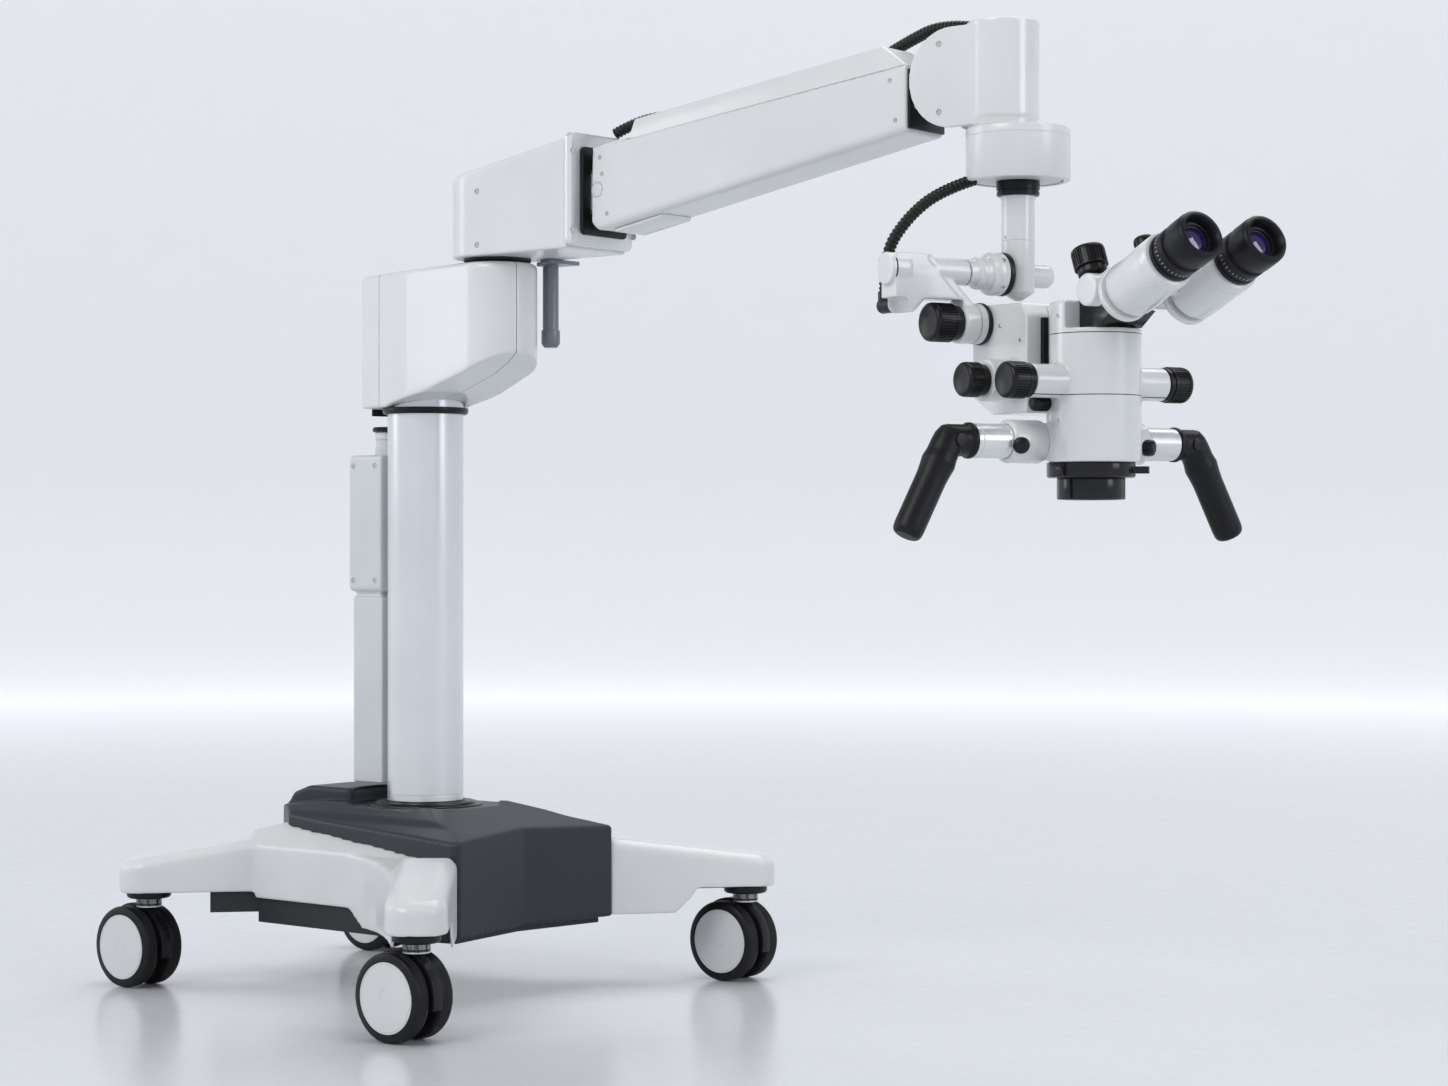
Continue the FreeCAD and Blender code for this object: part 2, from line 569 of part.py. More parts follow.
tube = Piece("drop_tube")
tube_x = "tube_reach * cos(tube_angle * 1deg)"
tube_y = "tube_reach * sin(tube_angle * 1deg)"
tube.spin([("0", "tube_bottom"), ("tube_radius - 4", "tube_bottom"), ("tube_radius", "tube_bottom + 6"),
           ("tube_radius", "tube_bottom + 26"), ("tube_radius - 2", "tube_bottom + 26"),
           ("tube_radius - 2", "swing_bottom"), ("0", "swing_bottom")],
          shift=(tube_x, "0", f"-({tube_y})"))
tube.poly("XY", [("57", "32"), ("78", "32"), ("78", "96"), ("20", "96"), ("20", "64"), ("52", "56")],
          "6", at="swing_bottom - 6")
swing_place(tube)

front = Piece("swing_front_frame")
thick = "frame_thick"
front.poly("YZ", [("-swing_half - 1", "swing_bottom + 4"), ("swing_half + 1", "swing_bottom + 4"),
                  ("swing_half + 1", "swing_front_top + 6"), ("-swing_half - 1", "swing_front_top + 6")],
           thick, at=reach)
front.round("10", lambda e: along(e, X_AXIS))
lug = f"lift_x - ({PIVOT_X})"
front.poly("XZ", [(reach, "lift_z - 30"), (lug, "lift_z - 19"), (f"{lug} + 13", "lift_z - 14"),
                  (f"{lug} + 19", "lift_z"), (f"{lug} + 13", "lift_z + 14"), (lug, "lift_z + 19"),
                  (reach, "lift_z + 30")], "2 * tongue_half", mid=True)
front.disc("XZ", (lug, "lift_z"), "arm_pin", "2 * arm_half - 1", mid=True)
swing_place(front)

seal = Piece("swing_gasket")
seal.poly("YZ", [("-arm_half - 4", "lift_z - 62"), ("arm_half + 4", "lift_z - 62"),
                 ("arm_half + 4", "lift_z + 64"), ("-arm_half - 4", "lift_z + 64")],
          "gasket_thick", at=f"{reach} + frame_thick")
seal.poly("YZ", [("-tongue_half - 1", "lift_z - 31"), ("tongue_half + 1", "lift_z - 31"),
                 ("tongue_half + 1", "lift_z + 31"), ("-tongue_half - 1", "lift_z + 31")], cut=True)
seal.round("8", lambda e: along(e, X_AXIS) and abs(middle(e).y) > num("arm_half"))
swing_place(seal)


# Lift arm in its own tilted frame: x along the arm, z across it.
rise = math.degrees(math.atan2(num("end_z - lift_z"), num("end_x - lift_x")))
arm_length = math.hypot(num("end_z - lift_z"), num("end_x - lift_x"))
ARM_TURN = Rotation(Y_AXIS, -rise)


def arm_place(piece):
    piece.place("lift_x", PIVOT_Y, "lift_z", turn=ARM_TURN)
    return keep(piece.body)


shell = Piece("lift_arm_shell")
shell.poly("XZ", [("2", "arm_top_left"), ("-17", "-arm_low_left + 16"), ("-9", "-arm_low_left + 3"),
                  ("6", "-arm_low_left"), ("arm_face_right", "-arm_low_right"),
                  ("arm_face_right + 14", "arm_top_right")], "2 * arm_half", mid=True)
shell.round("13", lambda e: middle(e).z < -50 and abs(abs(middle(e).y) - num("arm_half")) < 0.1
            and middle(e).x > 50)
shell.poly("XZ", [("-30", "arm_top_left + 20"), ("-30", "-arm_low_left + arm_wall + 2"),
                  ("arm_face_right - 22", "-arm_low_right + arm_wall"),
                  ("arm_face_right - 14", "arm_top_right + 20")],
           "2 * (arm_half - arm_wall)", mid=True, cut=True)
shell.disc("XZ", ("0", "0"), "arm_pin + fit", cut=True)
shell.poly("XZ", [("arm_face_right - 30", "-22"), ("arm_face_right - 30", "26"),
                  (f"{arm_length} - 6", "22"), (f"{arm_length} + 14", "17"),
                  (f"{arm_length} + 22", "0"), (f"{arm_length} + 14", "-17"),
                  (f"{arm_length} - 6", "-22")], "2 * tongue_half", mid=True)
shell.disc("XZ", (f"{arm_length}", "0"), "arm_pin + fit", cut=True)
arm_place(shell)

ridge = Piece("lift_arm_top_cover")
right = "arm_face_right - 26"
ridge.poly("XZ", [("2", "arm_top_left"), ("46", "ridge_left"), (right, "ridge_right"),
                  ("arm_face_right + 14", "arm_top_right")], "2 * arm_half", mid=True)
for side in SIDES.values():
    ridge.poly("YZ", [(f"{side} * (arm_half + 0.01)", "arm_top_right - 2"),
                      (f"{side} * ridge_half", "ridge_left + 1"),
                      (f"{side} * (arm_half + 20)", "ridge_left + 1")],
               cut=True)
arm_place(ridge)

under = Piece("lift_arm_under_plate")
under.poly("XZ", [("12", "-arm_low_left - 0.1"), ("104", "-arm_low_left + 0.9"),
                  ("100", "-arm_low_left - 4"), ("16", "-arm_low_left - 5")],
           "2 * arm_half - 24", mid=True)
arm_place(under)


# Knuckle: cheeks round the arm's end, brake drum and neck.
def knuckle_place(piece):
    piece.place("end_x", PIVOT_Y, "end_z")
    return keep(piece.body)


cheeks = Piece("knuckle_block")
drum_at = "drum_x - end_x"
for side in SIDES.values():
    middle_y = f"{side} * (arm_half - cheek_thick / 2)"
    cheeks.disc("XZ", ("0", "0"), "cheek_radius", "cheek_thick", at=f"-({middle_y})", mid=True)
    cheeks.poly("XZ", [("0", "-cheek_radius"), (f"{drum_at} - 8", "-cheek_radius"),
                       (f"{drum_at} - 8", "cheek_radius"), ("0", "cheek_radius")],
                "cheek_thick", at=f"-({middle_y})", mid=True)
cheeks.disc("XY", (drum_at, "0"), "drum_radius", "drum_height", at="drum_bottom - end_z")
cheeks.disc("XY", (drum_at, "0"), "neck_radius", "drum_bottom - neck_bottom + 1",
            at="neck_bottom - end_z")
cheeks.disc("XZ", ("0", "0"), "cheek_radius", "2 * (arm_half - cheek_thick) + 0.2", mid=True, cut=True)
cheeks.disc("XZ", ("0", "0"), "arm_pin", "2 * arm_half - 4", mid=True)
knuckle_place(cheeks)

cap = Piece("knuckle_cap")
drum_face = "drum_bottom + drum_height - end_z"
cap.spin([("0", drum_face), ("19", drum_face), ("19", f"{drum_face} + 3"),
          ("17", f"{drum_face} + 5"), ("0", f"{drum_face} + 5")], shift=(drum_at, "0", "0"))
knuckle_place(cap)


# Suspension: disc, collar and post turning under the knuckle.
def hang_place(piece):
    piece.place("post_x", PIVOT_Y, turn=HEAD_TURN)
    return keep(piece.body)


plate = Piece("suspension_disc")
plate.spin([("0", "susp_under"), ("40", "susp_under"), ("40", "susp_under + 2"),
            ("susp_radius - 9", "susp_under + 2"), ("susp_radius - 9", "susp_under"),
            ("susp_radius - 3", "susp_under"), ("susp_radius", "susp_under + 3"),
            ("susp_radius", "disc_top - 3"), ("susp_radius - 3", "disc_top"), ("0", "disc_top")])
plate.disc("XZ", ("hose_exit_x", "hose_exit_z"), "hose_notch", "30", at="46", cut=True)
hang_place(plate)

band = Piece("suspension_collar")
band.spin([("post_radius", "collar_bottom"), ("susp_collar - 4", "collar_bottom"),
           ("susp_collar", "collar_bottom + 6"), ("susp_collar", "susp_under"),
           ("post_radius", "susp_under")])
hang_place(band)

post = Piece("suspension_post")
post.spin([("0", "post_bottom"), ("5", "post_bottom"), ("post_radius", "post_bottom + 10.5"),
           ("post_radius", "susp_under"), ("0", "susp_under")])
post.disc("XZ", ("0", "shaft_z"), "clamp_radius + 7", "21", at="27")
post.disc("XZ", ("0", "shaft_z"), "clamp_radius", "66", at="16")
post.disc("XZ", ("0", "shaft_z"), "shaft_radius", "150", at="50")
post.disc("XZ", ("0", "shaft_z"), "15", "42", at="-50")
hang_place(post)

# Head bracket: from the shaft down to the tilt boss.
bracket = Piece("head_bracket")
bracket.disc("XZ", ("0", "shaft_z"), "17", "81", at="84")
half = "bracket_thick / 2"
bracket.poly("YZ", [("-188", "shaft_z + 20"), ("-142", "shaft_z + 19"), ("-76", "tilt_z + 22"),
                    ("-76", "tilt_z - 20"), ("-94", "tilt_z - 20"), ("-95", "tilt_z + 28"),
                    ("-152", "tilt_z + 28"), ("-170", "tilt_z + 10"), ("-190", "shaft_z - 18")],
             "bracket_thick", at="-bracket_thick / 2")
bracket.disc("XZ", ("0", "tilt_z"), "boss_radius", "18", at="76")
bracket.disc("YZ", ("-178", "hose_end_z - 13.5"), "12", "36", at="-50")
bracket.disc("XZ", ("0", "shaft_z"), "20.5", "28", at="176")
bracket.disc("XZ", ("0", "shaft_z"), "shaft_radius + fit", "118", at="83", cut=True)
bracket.disc("XZ", ("0", "tilt_z"), "tilt_radius + fit", "60", at="70", cut=True)
bracket_shape = hang_place(bracket)


def knob(label, radius, length, start, x, z, side, shaft, shaft_end):
    """Turned knob on a spindle along y; `start` is its inner face."""
    piece = Piece(label)
    s = str(side)
    piece.spin([("0", f"{s} * ({start} + {length})"),
                (f"{radius} - 4", f"{s} * ({start} + {length})"),
                (radius, f"{s} * ({start} + {length} - 4)"), (radius, f"{s} * ({start} + 4)"),
                (f"{radius} - 3", f"{s} * {start}"), (shaft, f"{s} * {start}"),
                (shaft, f"{s} * ({shaft_end})"), ("0", f"{s} * ({shaft_end})")],
               plane="XY", shift=(x, "0", z))
    return piece


hang_place(knob("tilt_knob", "knob_radius", "knob_length", "98", "0", "tilt_z", -1, "6", "84"))
doc.recompute()

# Head carrier: drum on the tilt axis and the focusing slide.
carrier = Piece("head_carrier")
carrier.disc("XZ", ("0", "tilt_z"), "carrier_drum", "carrier_left + carrier_right", at="-carrier_right")
carrier.poly("XZ", [("-carrier_drum", "tilt_z"), ("-carrier_drum + 8", "tilt_z + 16"),
                    ("0", "tilt_z + carrier_drum"), ("carrier_front - 14", "tilt_z + 22"),
                    ("carrier_front", "tilt_z + 6"),
                    ("carrier_front", "carrier_bottom"), ("24", "carrier_bottom"),
                    ("-carrier_drum + 6", "carrier_bottom + 22")],
             "carrier_left + carrier_right - 5", at="-carrier_right + 5")
carrier.disc("XZ", ("0", "tilt_z"), "tilt_radius + 12", "16", at="carrier_left")
carrier.disc("XZ", ("0", "tilt_z"), "tilt_radius", "27", at="carrier_left")
carrier.poly("XY", [("carrier_front - rail_depth", "-rail_half"), ("carrier_front + 1", "-rail_half"),
                    ("carrier_front + 1", "rail_half"), ("carrier_front - rail_depth", "rail_half")],
             cut=True)
carrier.disc("XZ", ("70", "zoom_z + 5"), "27", "focus_hub - carrier_left + 6",
             at="carrier_left - 6")
carrier.disc("XZ", ("70", "zoom_z + 5"), "6 + fit", "focus_hub", at="31", cut=True)
hang_place(carrier)

hang_place(knob("focus_knob", "22", "32", "(focus_hub + gap)", "70", "zoom_z + 5", -1, "6", "35"))
hang_place(knob("lock_knob_rear", "small_knob", "24", "55", "lock_x", "lock_z", -1, "4", "35"))


# Microscope body: focusing slide, body, cross bar for the handles.
scope = Piece("microscope_body")
scope.disc("XY", ("scope_x", "0"), "scope_radius", "scope_top - scope_bottom", at="scope_bottom")
scope.round("5", lambda e: middle(e).z > num("scope_top") - 0.01)
scope.poly("XY", [("carrier_front + gap - rail_depth", "-rail_half + gap"), ("scope_x", "-rail_half + gap"),
                  ("scope_x", "rail_half - gap"), ("carrier_front + gap - rail_depth", "rail_half - gap")],
           "scope_top - scope_bottom - 30", at="scope_bottom + 20")
scope.poly("XZ", [("176", "scope_top - 35"), ("scope_x + 70", "scope_top - 35"),
                  ("scope_x + 70", "scope_top + 1"), ("176", "scope_top + 1")], cut=True)
scope.poly("XY", [("carrier_front + 1", "-clamp_start"), ("152", "-clamp_start"), ("152", "clamp_start"),
                  ("carrier_front + 1", "clamp_start")], "46", at="handle_z - 23")
scope.disc("XZ", ("scope_x", "zoom_z"), "21", "2 * zoom_hub", mid=True)
scope.disc("XZ", ("lock_x", "lock_z"), "4 + fit", "30", at="31", cut=True)
scope.disc("XZ", ("scope_x", "zoom_z"), "6 + fit", cut=True)
hang_place(scope)

base_ring = Piece("objective_mount")
base_ring.spin([("lens_radius - 4", "ring_bottom"), ("ring_radius - 2", "ring_bottom"),
                ("ring_radius", "ring_bottom + 2"), ("ring_radius", "scope_bottom"),
                ("lens_radius - 4", "scope_bottom")], shift=("objective_x", "0", "0"))
base_ring.poly("XY", [("objective_x + 34", "40"), ("objective_x + 46", "30"),
                      ("objective_x + 58", "44"), ("objective_x + 48", "54")], "9", at="ring_bottom + 5")
hang_place(base_ring)

lens_ring = Piece("objective_housing")
lens_ring.spin([("lens_radius", "lens_ring_bottom"), ("lens_ring_radius - 1", "lens_ring_bottom"),
                ("lens_ring_radius", "lens_ring_bottom + 1"), ("lens_ring_radius", "ring_bottom"),
                ("lens_radius - 3", "ring_bottom"), ("lens_radius - 3", "lens_ring_bottom + 10"),
                ("lens_radius", "lens_ring_bottom + 10")],
               shift=("objective_x", "0", "0"))
hang_place(lens_ring)

lens = Piece("objective_lens")
lens.spin([("0", "lens_ring_bottom + 11"), ("lens_radius - 3 - fit", "lens_ring_bottom + 13"),
           ("lens_radius - 3 - fit", "lens_ring_bottom + 20"), ("0", "lens_ring_bottom + 20")],
          shift=("objective_x", "0", "0"))
hang_place(lens)

zoom = Piece("zoom_knobs")
zoom.disc("XZ", ("scope_x", "zoom_z"), "6", "240", mid=True)
for side in SIDES.values():
    s = str(side)
    face = f"{s} * (zoom_hub"
    zoom.spin([("5", f"{face} + gap)"), ("zoom_knob - 3", f"{face} + gap)"),
               ("zoom_knob", f"{face} + 3)"), ("zoom_knob", f"{face} + 32)"),
               ("zoom_knob - 4", f"{face} + 36)"), ("5", f"{face} + 36)")],
              plane="XY", shift=("scope_x", "0", "zoom_z"))
    zoom.disc("XZ", ("scope_x", "zoom_z"), "7", "30", at=f"-({s} * 120)", mid=True)
hang_place(zoom)

# Handles: clamps on the cross bar, turning tubes and grips.
for side_name, side in SIDES.items():
    s = str(side)
    clamp = Piece(f"handle_clamp_{side_name}")
    clamp.spin([("0", f"{s} * clamp_start"), ("handle_clamp", f"{s} * clamp_start"),
                ("handle_clamp", f"{s} * (clamp_end - 3)"), ("handle_clamp - 3", f"{s} * clamp_end"),
                ("handle_tube + fit", f"{s} * clamp_end"),
                ("handle_tube + fit", f"{s} * (clamp_start + 20)"),
                ("0", f"{s} * (clamp_start + 20)")], plane="XY", shift=("handle_x", "0", "handle_z"))
    hang_place(clamp)

    arm = Piece(f"handle_tube_{side_name}")
    arm.spin([("0", f"{s} * (clamp_start + 20 + gap)"), ("handle_tube", f"{s} * (clamp_start + 20 + gap)"),
              ("handle_tube", f"{s} * tube_end"), ("0", f"{s} * tube_end")], plane="XY")
    arm.place("post_x + handle_x * cos(head_yaw * 1deg)",
              f"{PIVOT_Y} - handle_x * sin(head_yaw * 1deg)", "handle_z", turn=HEAD_TURN)
    keep(arm.body)

    sleeve = Piece(f"elbow_{side_name}")
    sleeve.spin([("0", f"{s} * tube_end"), ("handle_tube + 1", f"{s} * tube_end"),
                 ("handle_tube + 1", f"{s} * (tube_end + 6)"), ("grip_radius", f"{s} * (tube_end + 8)"),
                 ("grip_radius", f"{s} * elbow_y"), ("grip_radius - 4", f"{s} * (elbow_y + 11)"),
                 ("0", f"{s} * (elbow_y + 17)")], plane="XY")
    sleeve.place("post_x + handle_x * cos(head_yaw * 1deg)",
                 f"{PIVOT_Y} - handle_x * sin(head_yaw * 1deg)", "handle_z", turn=HEAD_TURN)
    grip_long = math.hypot(num("grip_y - elbow_y"), num("handle_z - grip_z"))
    lean = math.degrees(math.atan2(num("grip_y - elbow_y"), num("handle_z - grip_z")))
    grip = Piece(f"handle_bar_{side_name}")
    g = "grip_radius"
    grip.spin([("0", "16"), (f"{g} - 6", "13"), (g, "2"), (g, "-18"), (f"{g} + 2", "-28"), (g, "-40"),
               (f"{g} - 1.5", "-62"), (f"{g} + 0.5", "-92"), (f"{g} - 1", f"-{grip_long} + 8"),
               (f"{g} - 7", f"-{grip_long}"), ("0", f"-{grip_long} - 2")])
    along_head = f"elbow_y * {side}"
    place_x = f"post_x + handle_x * cos(head_yaw * 1deg) + {along_head} * sin(head_yaw * 1deg)"
    place_y = f"{PIVOT_Y} - handle_x * sin(head_yaw * 1deg) + {along_head} * cos(head_yaw * 1deg)"
    grip.place(place_x, place_y, "handle_z", turn=HEAD_TURN * Rotation(X_AXIS, side * lean))
    joined = doc.addObject("Part::MultiFuse", f"handle_grip_{side_name}")
    joined.Label = f"handle_grip_{side_name}"
    button_hole = Piece(f"button_pocket_{side_name}")
    button_hole.disc("YZ", (f"{s} * (elbow_y - 6)", "0"), "button_radius + gap", "14", at="10")
    button_hole.place("post_x + handle_x * cos(head_yaw * 1deg)",
                      f"{PIVOT_Y} - handle_x * sin(head_yaw * 1deg)", "handle_z", turn=HEAD_TURN)
    joined.Label = f"grip_blank_{side_name}"
    joined.Shapes = [sleeve.body, grip.body]
    cut = doc.addObject("Part::Cut", f"handle_grip_{side_name}_cut")
    cut.Base = joined
    cut.Tool = button_hole.body
    cut.Label = f"handle_grip_{side_name}"
    keep(cut)

    button = Piece(f"handle_button_{side_name}")
    button.disc("YZ", (f"{s} * (elbow_y - 6)", "0"), "button_radius", "9", at="13")
    button.round("1.2", lambda e: middle(e).x > 21)
    button.place("post_x + handle_x * cos(head_yaw * 1deg)",
                 f"{PIVOT_Y} - handle_x * sin(head_yaw * 1deg)", "handle_z", turn=HEAD_TURN)
    keep(button.body)

# Binocular tube on its tilting hinge.
mount = Piece("binocular_mount")
mount.poly("XZ", [("176 + gap", "scope_top - 35 + gap"), ("scope_x + 50", "scope_top - 35 + gap"),
                  ("hinge_x + 14", "hinge_z - 10"), ("hinge_x + 10", "hinge_z + 8"),
                  ("hinge_x - 12", "hinge_z + 12"), ("176 + gap", "scope_top")], "66", mid=True)
mount.disc("XZ", ("hinge_x", "hinge_z"), "hinge_radius - 2", "2 * tongue_y", mid=True)
for side in SIDES.values():
    mount.disc("XZ", ("hinge_x", "hinge_z"), "hinge_radius + 1.5", "40",
               at=f"-({side} * (tongue_y + 20))", mid=True, cut=True)
mount.disc("XZ", ("hinge_x", "hinge_z"), "8 + fit", cut=True)
hang_place(mount)

TUBE_TURN = HEAD_TURN * Rotation(Y_AXIS, -num("tube_rise"))


def tube_place(piece):
    piece.place("post_x + hinge_x * cos(head_yaw * 1deg)",
                f"{PIVOT_Y} - hinge_x * sin(head_yaw * 1deg)", "hinge_z", turn=TUBE_TURN)
    return keep(piece.body)


hinge = Piece("binocular_hinge")
hinge.disc("XZ", ("0", "0"), "8", "2 * hinge_half - 2", mid=True)
for side in SIDES.values():
    hinge.disc("XZ", ("0", "0"), "hinge_radius", "hinge_half - tongue_y - gap",
               at=f"-({side} * (hinge_half + tongue_y + gap) / 2)", mid=True)
    hinge.poly("XY", [("0", f"{side} * (tongue_y + gap)"), ("barrel_start - 2", f"{side} * (tongue_y + gap)"),
                      ("barrel_start - 2", f"{side} * (hinge_half - 16)"),
                      ("0", f"{side} * (hinge_half - 16)")], "34", at="-14")
hinge.poly("YZ", [("-hinge_half + 16", "-50"), ("hinge_half - 16", "-50"), ("hinge_half - 16", "22"),
                  ("-hinge_half + 16", "22")], "barrel_start - 2 - 25", at="25")
hinge.poly("YZ", [("-26", "18"), ("26", "18"), ("20", "40"), ("-20", "40")], "22", at="26")
hinge.disc("YZ", ("0", "-tube_drop"), "5", "30", at="barrel_start - 3")
hinge.disc("XY", ("0", "-58"), "4 + fit", "26", at="4", cut=True)
hinge.disc("XY", ("37", "0"), "4 + fit", "20", at="24", cut=True)
tube_place(hinge)

for label, radius, tall, foot_z, x, y in (("binocular_knob", 21, 34, 22, "0", "-58"),
                                          ("binocular_top_knob", 13, 14, 41, "37", "0")):
    top = Piece(label)
    base_z = f"{foot_z}"
    top.spin([("0", f"{base_z} - 14"), ("4", f"{base_z} - 14"), ("4", base_z), (f"{radius - 2}", base_z),
              (f"{radius}", f"{base_z} + 2"), (f"{radius}", f"{base_z} + {tall} - 3"),
              (f"{radius - 3}", f"{base_z} + {tall}"), ("0", f"{base_z} + {tall}")],
             shift=(x, "0", f"-({y})"))
    tube_place(top)

for side_name, side in SIDES.items():
    s = str(side)
    barrel = Piece(f"eyepiece_tube_{side_name}")
    start = "barrel_start"
    hub_start = "barrel_start" if side < 0 else "barrel_start + 13"
    barrel.disc("YZ", (f"{s} * tube_spacing", "-tube_drop"), "barrel_radius",
                "barrel_end - barrel_start", at=start)
    barrel.round("3", lambda e: middle(e).x > num("barrel_end") - 0.01)
    barrel.disc("YZ", ("0", "-tube_drop"), "9", "12", at=hub_start)
    barrel.poly("YZ", [("0", "-tube_drop - 8"), (f"{s} * tube_spacing", "-tube_drop - 8"),
                       (f"{s} * tube_spacing", "-tube_drop + 8"), ("0", "-tube_drop + 8")], "12",
                at=hub_start)
    barrel.disc("YZ", ("0", "-tube_drop"), "5 + fit", cut=True)
    barrel.disc("YZ", (f"{s} * tube_spacing", "-tube_drop"), "20 + fit", "30",
                at="barrel_end - 22", cut=True)
    tube_place(barrel)

    ocular = Piece(f"eyepiece_{side_name}")
    ocular.disc("YZ", (f"{s} * tube_spacing", "-tube_drop"), "20", "24", at="barrel_end - 20")
    ocular.disc("YZ", (f"{s} * tube_spacing", "-tube_drop"), "ocular_radius",
                "ocular_end - barrel_end - gap", at="barrel_end + gap")
    ocular.round("2.5", lambda e: middle(e).x > num("ocular_end") - 0.01)
    ocular.disc("YZ", (f"{s} * tube_spacing", "-tube_drop"), "19", "20", at="ocular_end - 12", cut=True)
    ocular.disc("YZ", (f"{s} * tube_spacing", "-tube_drop"), "12", "20", at="ocular_end - 18", cut=True)
    tube_place(ocular)


def hose(label, points, radius, place):
    """Soft hose swept along straight runs joined by tangent arcs."""
    edges = []
    start = points[0]
    for index in range(1, len(points) - 1):
        before = (points[index - 1] - points[index]).normalize()
        after = (points[index + 1] - points[index]).normalize()
        half = (math.pi - before.getAngle(after)) / 2
        shorter = min((points[index - 1] - points[index]).Length,
                      (points[index + 1] - points[index]).Length)
        cut_back = 0.45 * shorter
        first = points[index] + before * cut_back
        last = points[index] + after * cut_back
        bend = cut_back / math.tan(half)
        inward = (before + after).normalize()
        centre_gap = bend / math.cos(half)
        mid_point = points[index] + inward * (centre_gap - bend)
        edges.append(Part.LineSegment(start, first).toShape())
        edges.append(Part.Arc(first, mid_point, last).toShape())
        print(label, index, "bend radius", round(bend, 1))
        start = last
    edges.append(Part.LineSegment(start, points[-1]).toShape())
    path = Part.Wire(edges)
    ring_wire = Part.Wire([Part.Circle(points[0], points[1] - points[0], radius).toShape()])
    solid = path.makePipeShell([ring_wire], True, True)
    print(label, "length", round(path.Length, 1), "volume ratio",
          solid.Volume / (path.Length * math.pi * radius ** 2))
    item = doc.addObject("Part::Feature", label)
    item.Label = label
    item.Shape = solid
    item.Placement = place
    return keep(item)


arm_origin = Placement(V(num("lift_x"), num(PIVOT_Y), num("lift_z")), ARM_TURN)
hose("arm_hose", [V(-14, 32, 94.3), V(34, 42, 108), V(110, 56, 90), V(265, 57, 80), V(420, 56, 78),
                  V(500, 46, 92), V(560, 38, 96), V(604, 38, 80)], 8.5, arm_origin)
head_origin = Placement(V(num("post_x"), num(PIVOT_Y), 0), HEAD_TURN)
exit_x, exit_z, hose_end = num("hose_exit_x"), num("hose_exit_z"), num("hose_end_z")
hose("head_hose", [V(exit_x, -50, exit_z), V(exit_x - 3, -98, exit_z - 16),
                   V(exit_x - 7, -146, hose_end + 101), V(exit_x - 9, -182, hose_end + 50),
                   V(exit_x - 9, -179, hose_end)], 8, head_origin)

doc.recompute()
faults = []
facets = 0
for item in doc.Objects:
    if "Invalid" in item.State or "Error" in item.State:
        faults.append((item.Name, item.State))
for item in nodes:
    if item.Shape.isNull() or not item.Shape.isValid() or not item.Shape.Solids:
        faults.append((item.Label, "shape"))
if faults:
    raise RuntimeError(faults)
for item in nodes:
    item.Shape.exportStep(f"parts/{item.Label}.step")
    count = len(item.Shape.tessellate(0.3)[1])
    facets += count
    print(item.Label, len(item.Shape.Solids), round(item.Shape.Volume / 1000, 1), count)
print("nodes", len(nodes), "facets", facets)
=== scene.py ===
import json
import math

import bpy
from mathutils import Matrix, Vector


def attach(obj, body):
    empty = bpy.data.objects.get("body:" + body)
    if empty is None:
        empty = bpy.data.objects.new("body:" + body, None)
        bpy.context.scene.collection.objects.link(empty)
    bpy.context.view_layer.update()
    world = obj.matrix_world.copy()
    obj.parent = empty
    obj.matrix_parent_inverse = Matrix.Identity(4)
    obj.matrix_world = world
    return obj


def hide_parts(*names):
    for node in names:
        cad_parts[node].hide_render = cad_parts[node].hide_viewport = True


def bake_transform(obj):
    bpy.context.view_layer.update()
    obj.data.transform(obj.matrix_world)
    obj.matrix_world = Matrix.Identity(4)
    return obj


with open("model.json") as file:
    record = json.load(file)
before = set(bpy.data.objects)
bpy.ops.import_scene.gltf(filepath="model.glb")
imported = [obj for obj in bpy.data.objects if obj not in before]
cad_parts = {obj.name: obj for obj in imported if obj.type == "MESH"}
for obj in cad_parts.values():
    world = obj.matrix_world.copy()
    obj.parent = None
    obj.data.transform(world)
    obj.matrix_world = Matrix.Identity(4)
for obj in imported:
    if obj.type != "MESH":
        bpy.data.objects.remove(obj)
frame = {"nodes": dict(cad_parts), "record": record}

bl_info = {
    "name": "Surgical microscope dressing",
    "version": (1, 0, 0),
    "blender": (4, 5, 0),
    "location": "View3D > Sidebar > Microscope",
    "description": "Finishes, hoses, knobs, optics and studio for a surgical microscope on a stand",
    "category": "Object",
}

# Where the assemblies stand, in metres: the same places that the solids are built round.
LOWER_YAW = math.radians(16)
PIVOT = Vector((0.215 * math.cos(LOWER_YAW), -0.215 * math.sin(LOWER_YAW), 0))
LIFT = Vector((0.440, PIVOT.y, 1.188))
KNUCKLE = Vector((1.045, PIVOT.y, 1.288))
POST = Vector((1.120, PIVOT.y, 0))
ARM_RISE = math.atan2(KNUCKLE.z - LIFT.z, KNUCKLE.x - LIFT.x)

LOWER_FRAME = Matrix.Rotation(-LOWER_YAW, 4, "Z")
SWING_FRAME = Matrix.Translation(PIVOT)
ARM_FRAME = Matrix.Translation(LIFT) @ Matrix.Rotation(-ARM_RISE, 4, "Y")
KNUCKLE_FRAME = Matrix.Translation(KNUCKLE)
HEAD_FRAME = Matrix.Translation(POST) @ Matrix.Rotation(math.radians(-22), 4, "Z")
TUBE_FRAME = (HEAD_FRAME @ Matrix.Translation((0.246, 0, 0.990))
              @ Matrix.Rotation(math.radians(-22), 4, "Y"))

# The photograph's camera: focal length and width in pixels, and the sensor's width in mm.
FOCAL_PIXELS, PHOTO_PIXELS, SENSOR = 2892, 1448, 36.0
CAMERA_PLACE = (3.1416, -3.2089, 0.683)
CAMERA_TURN = math.radians(38.5)
# Studio paper: the flat floor, and the fold that carries it up into the backdrop.
FLOOR_RADIUS, FOLD_RADIUS = 8.5, 4.5

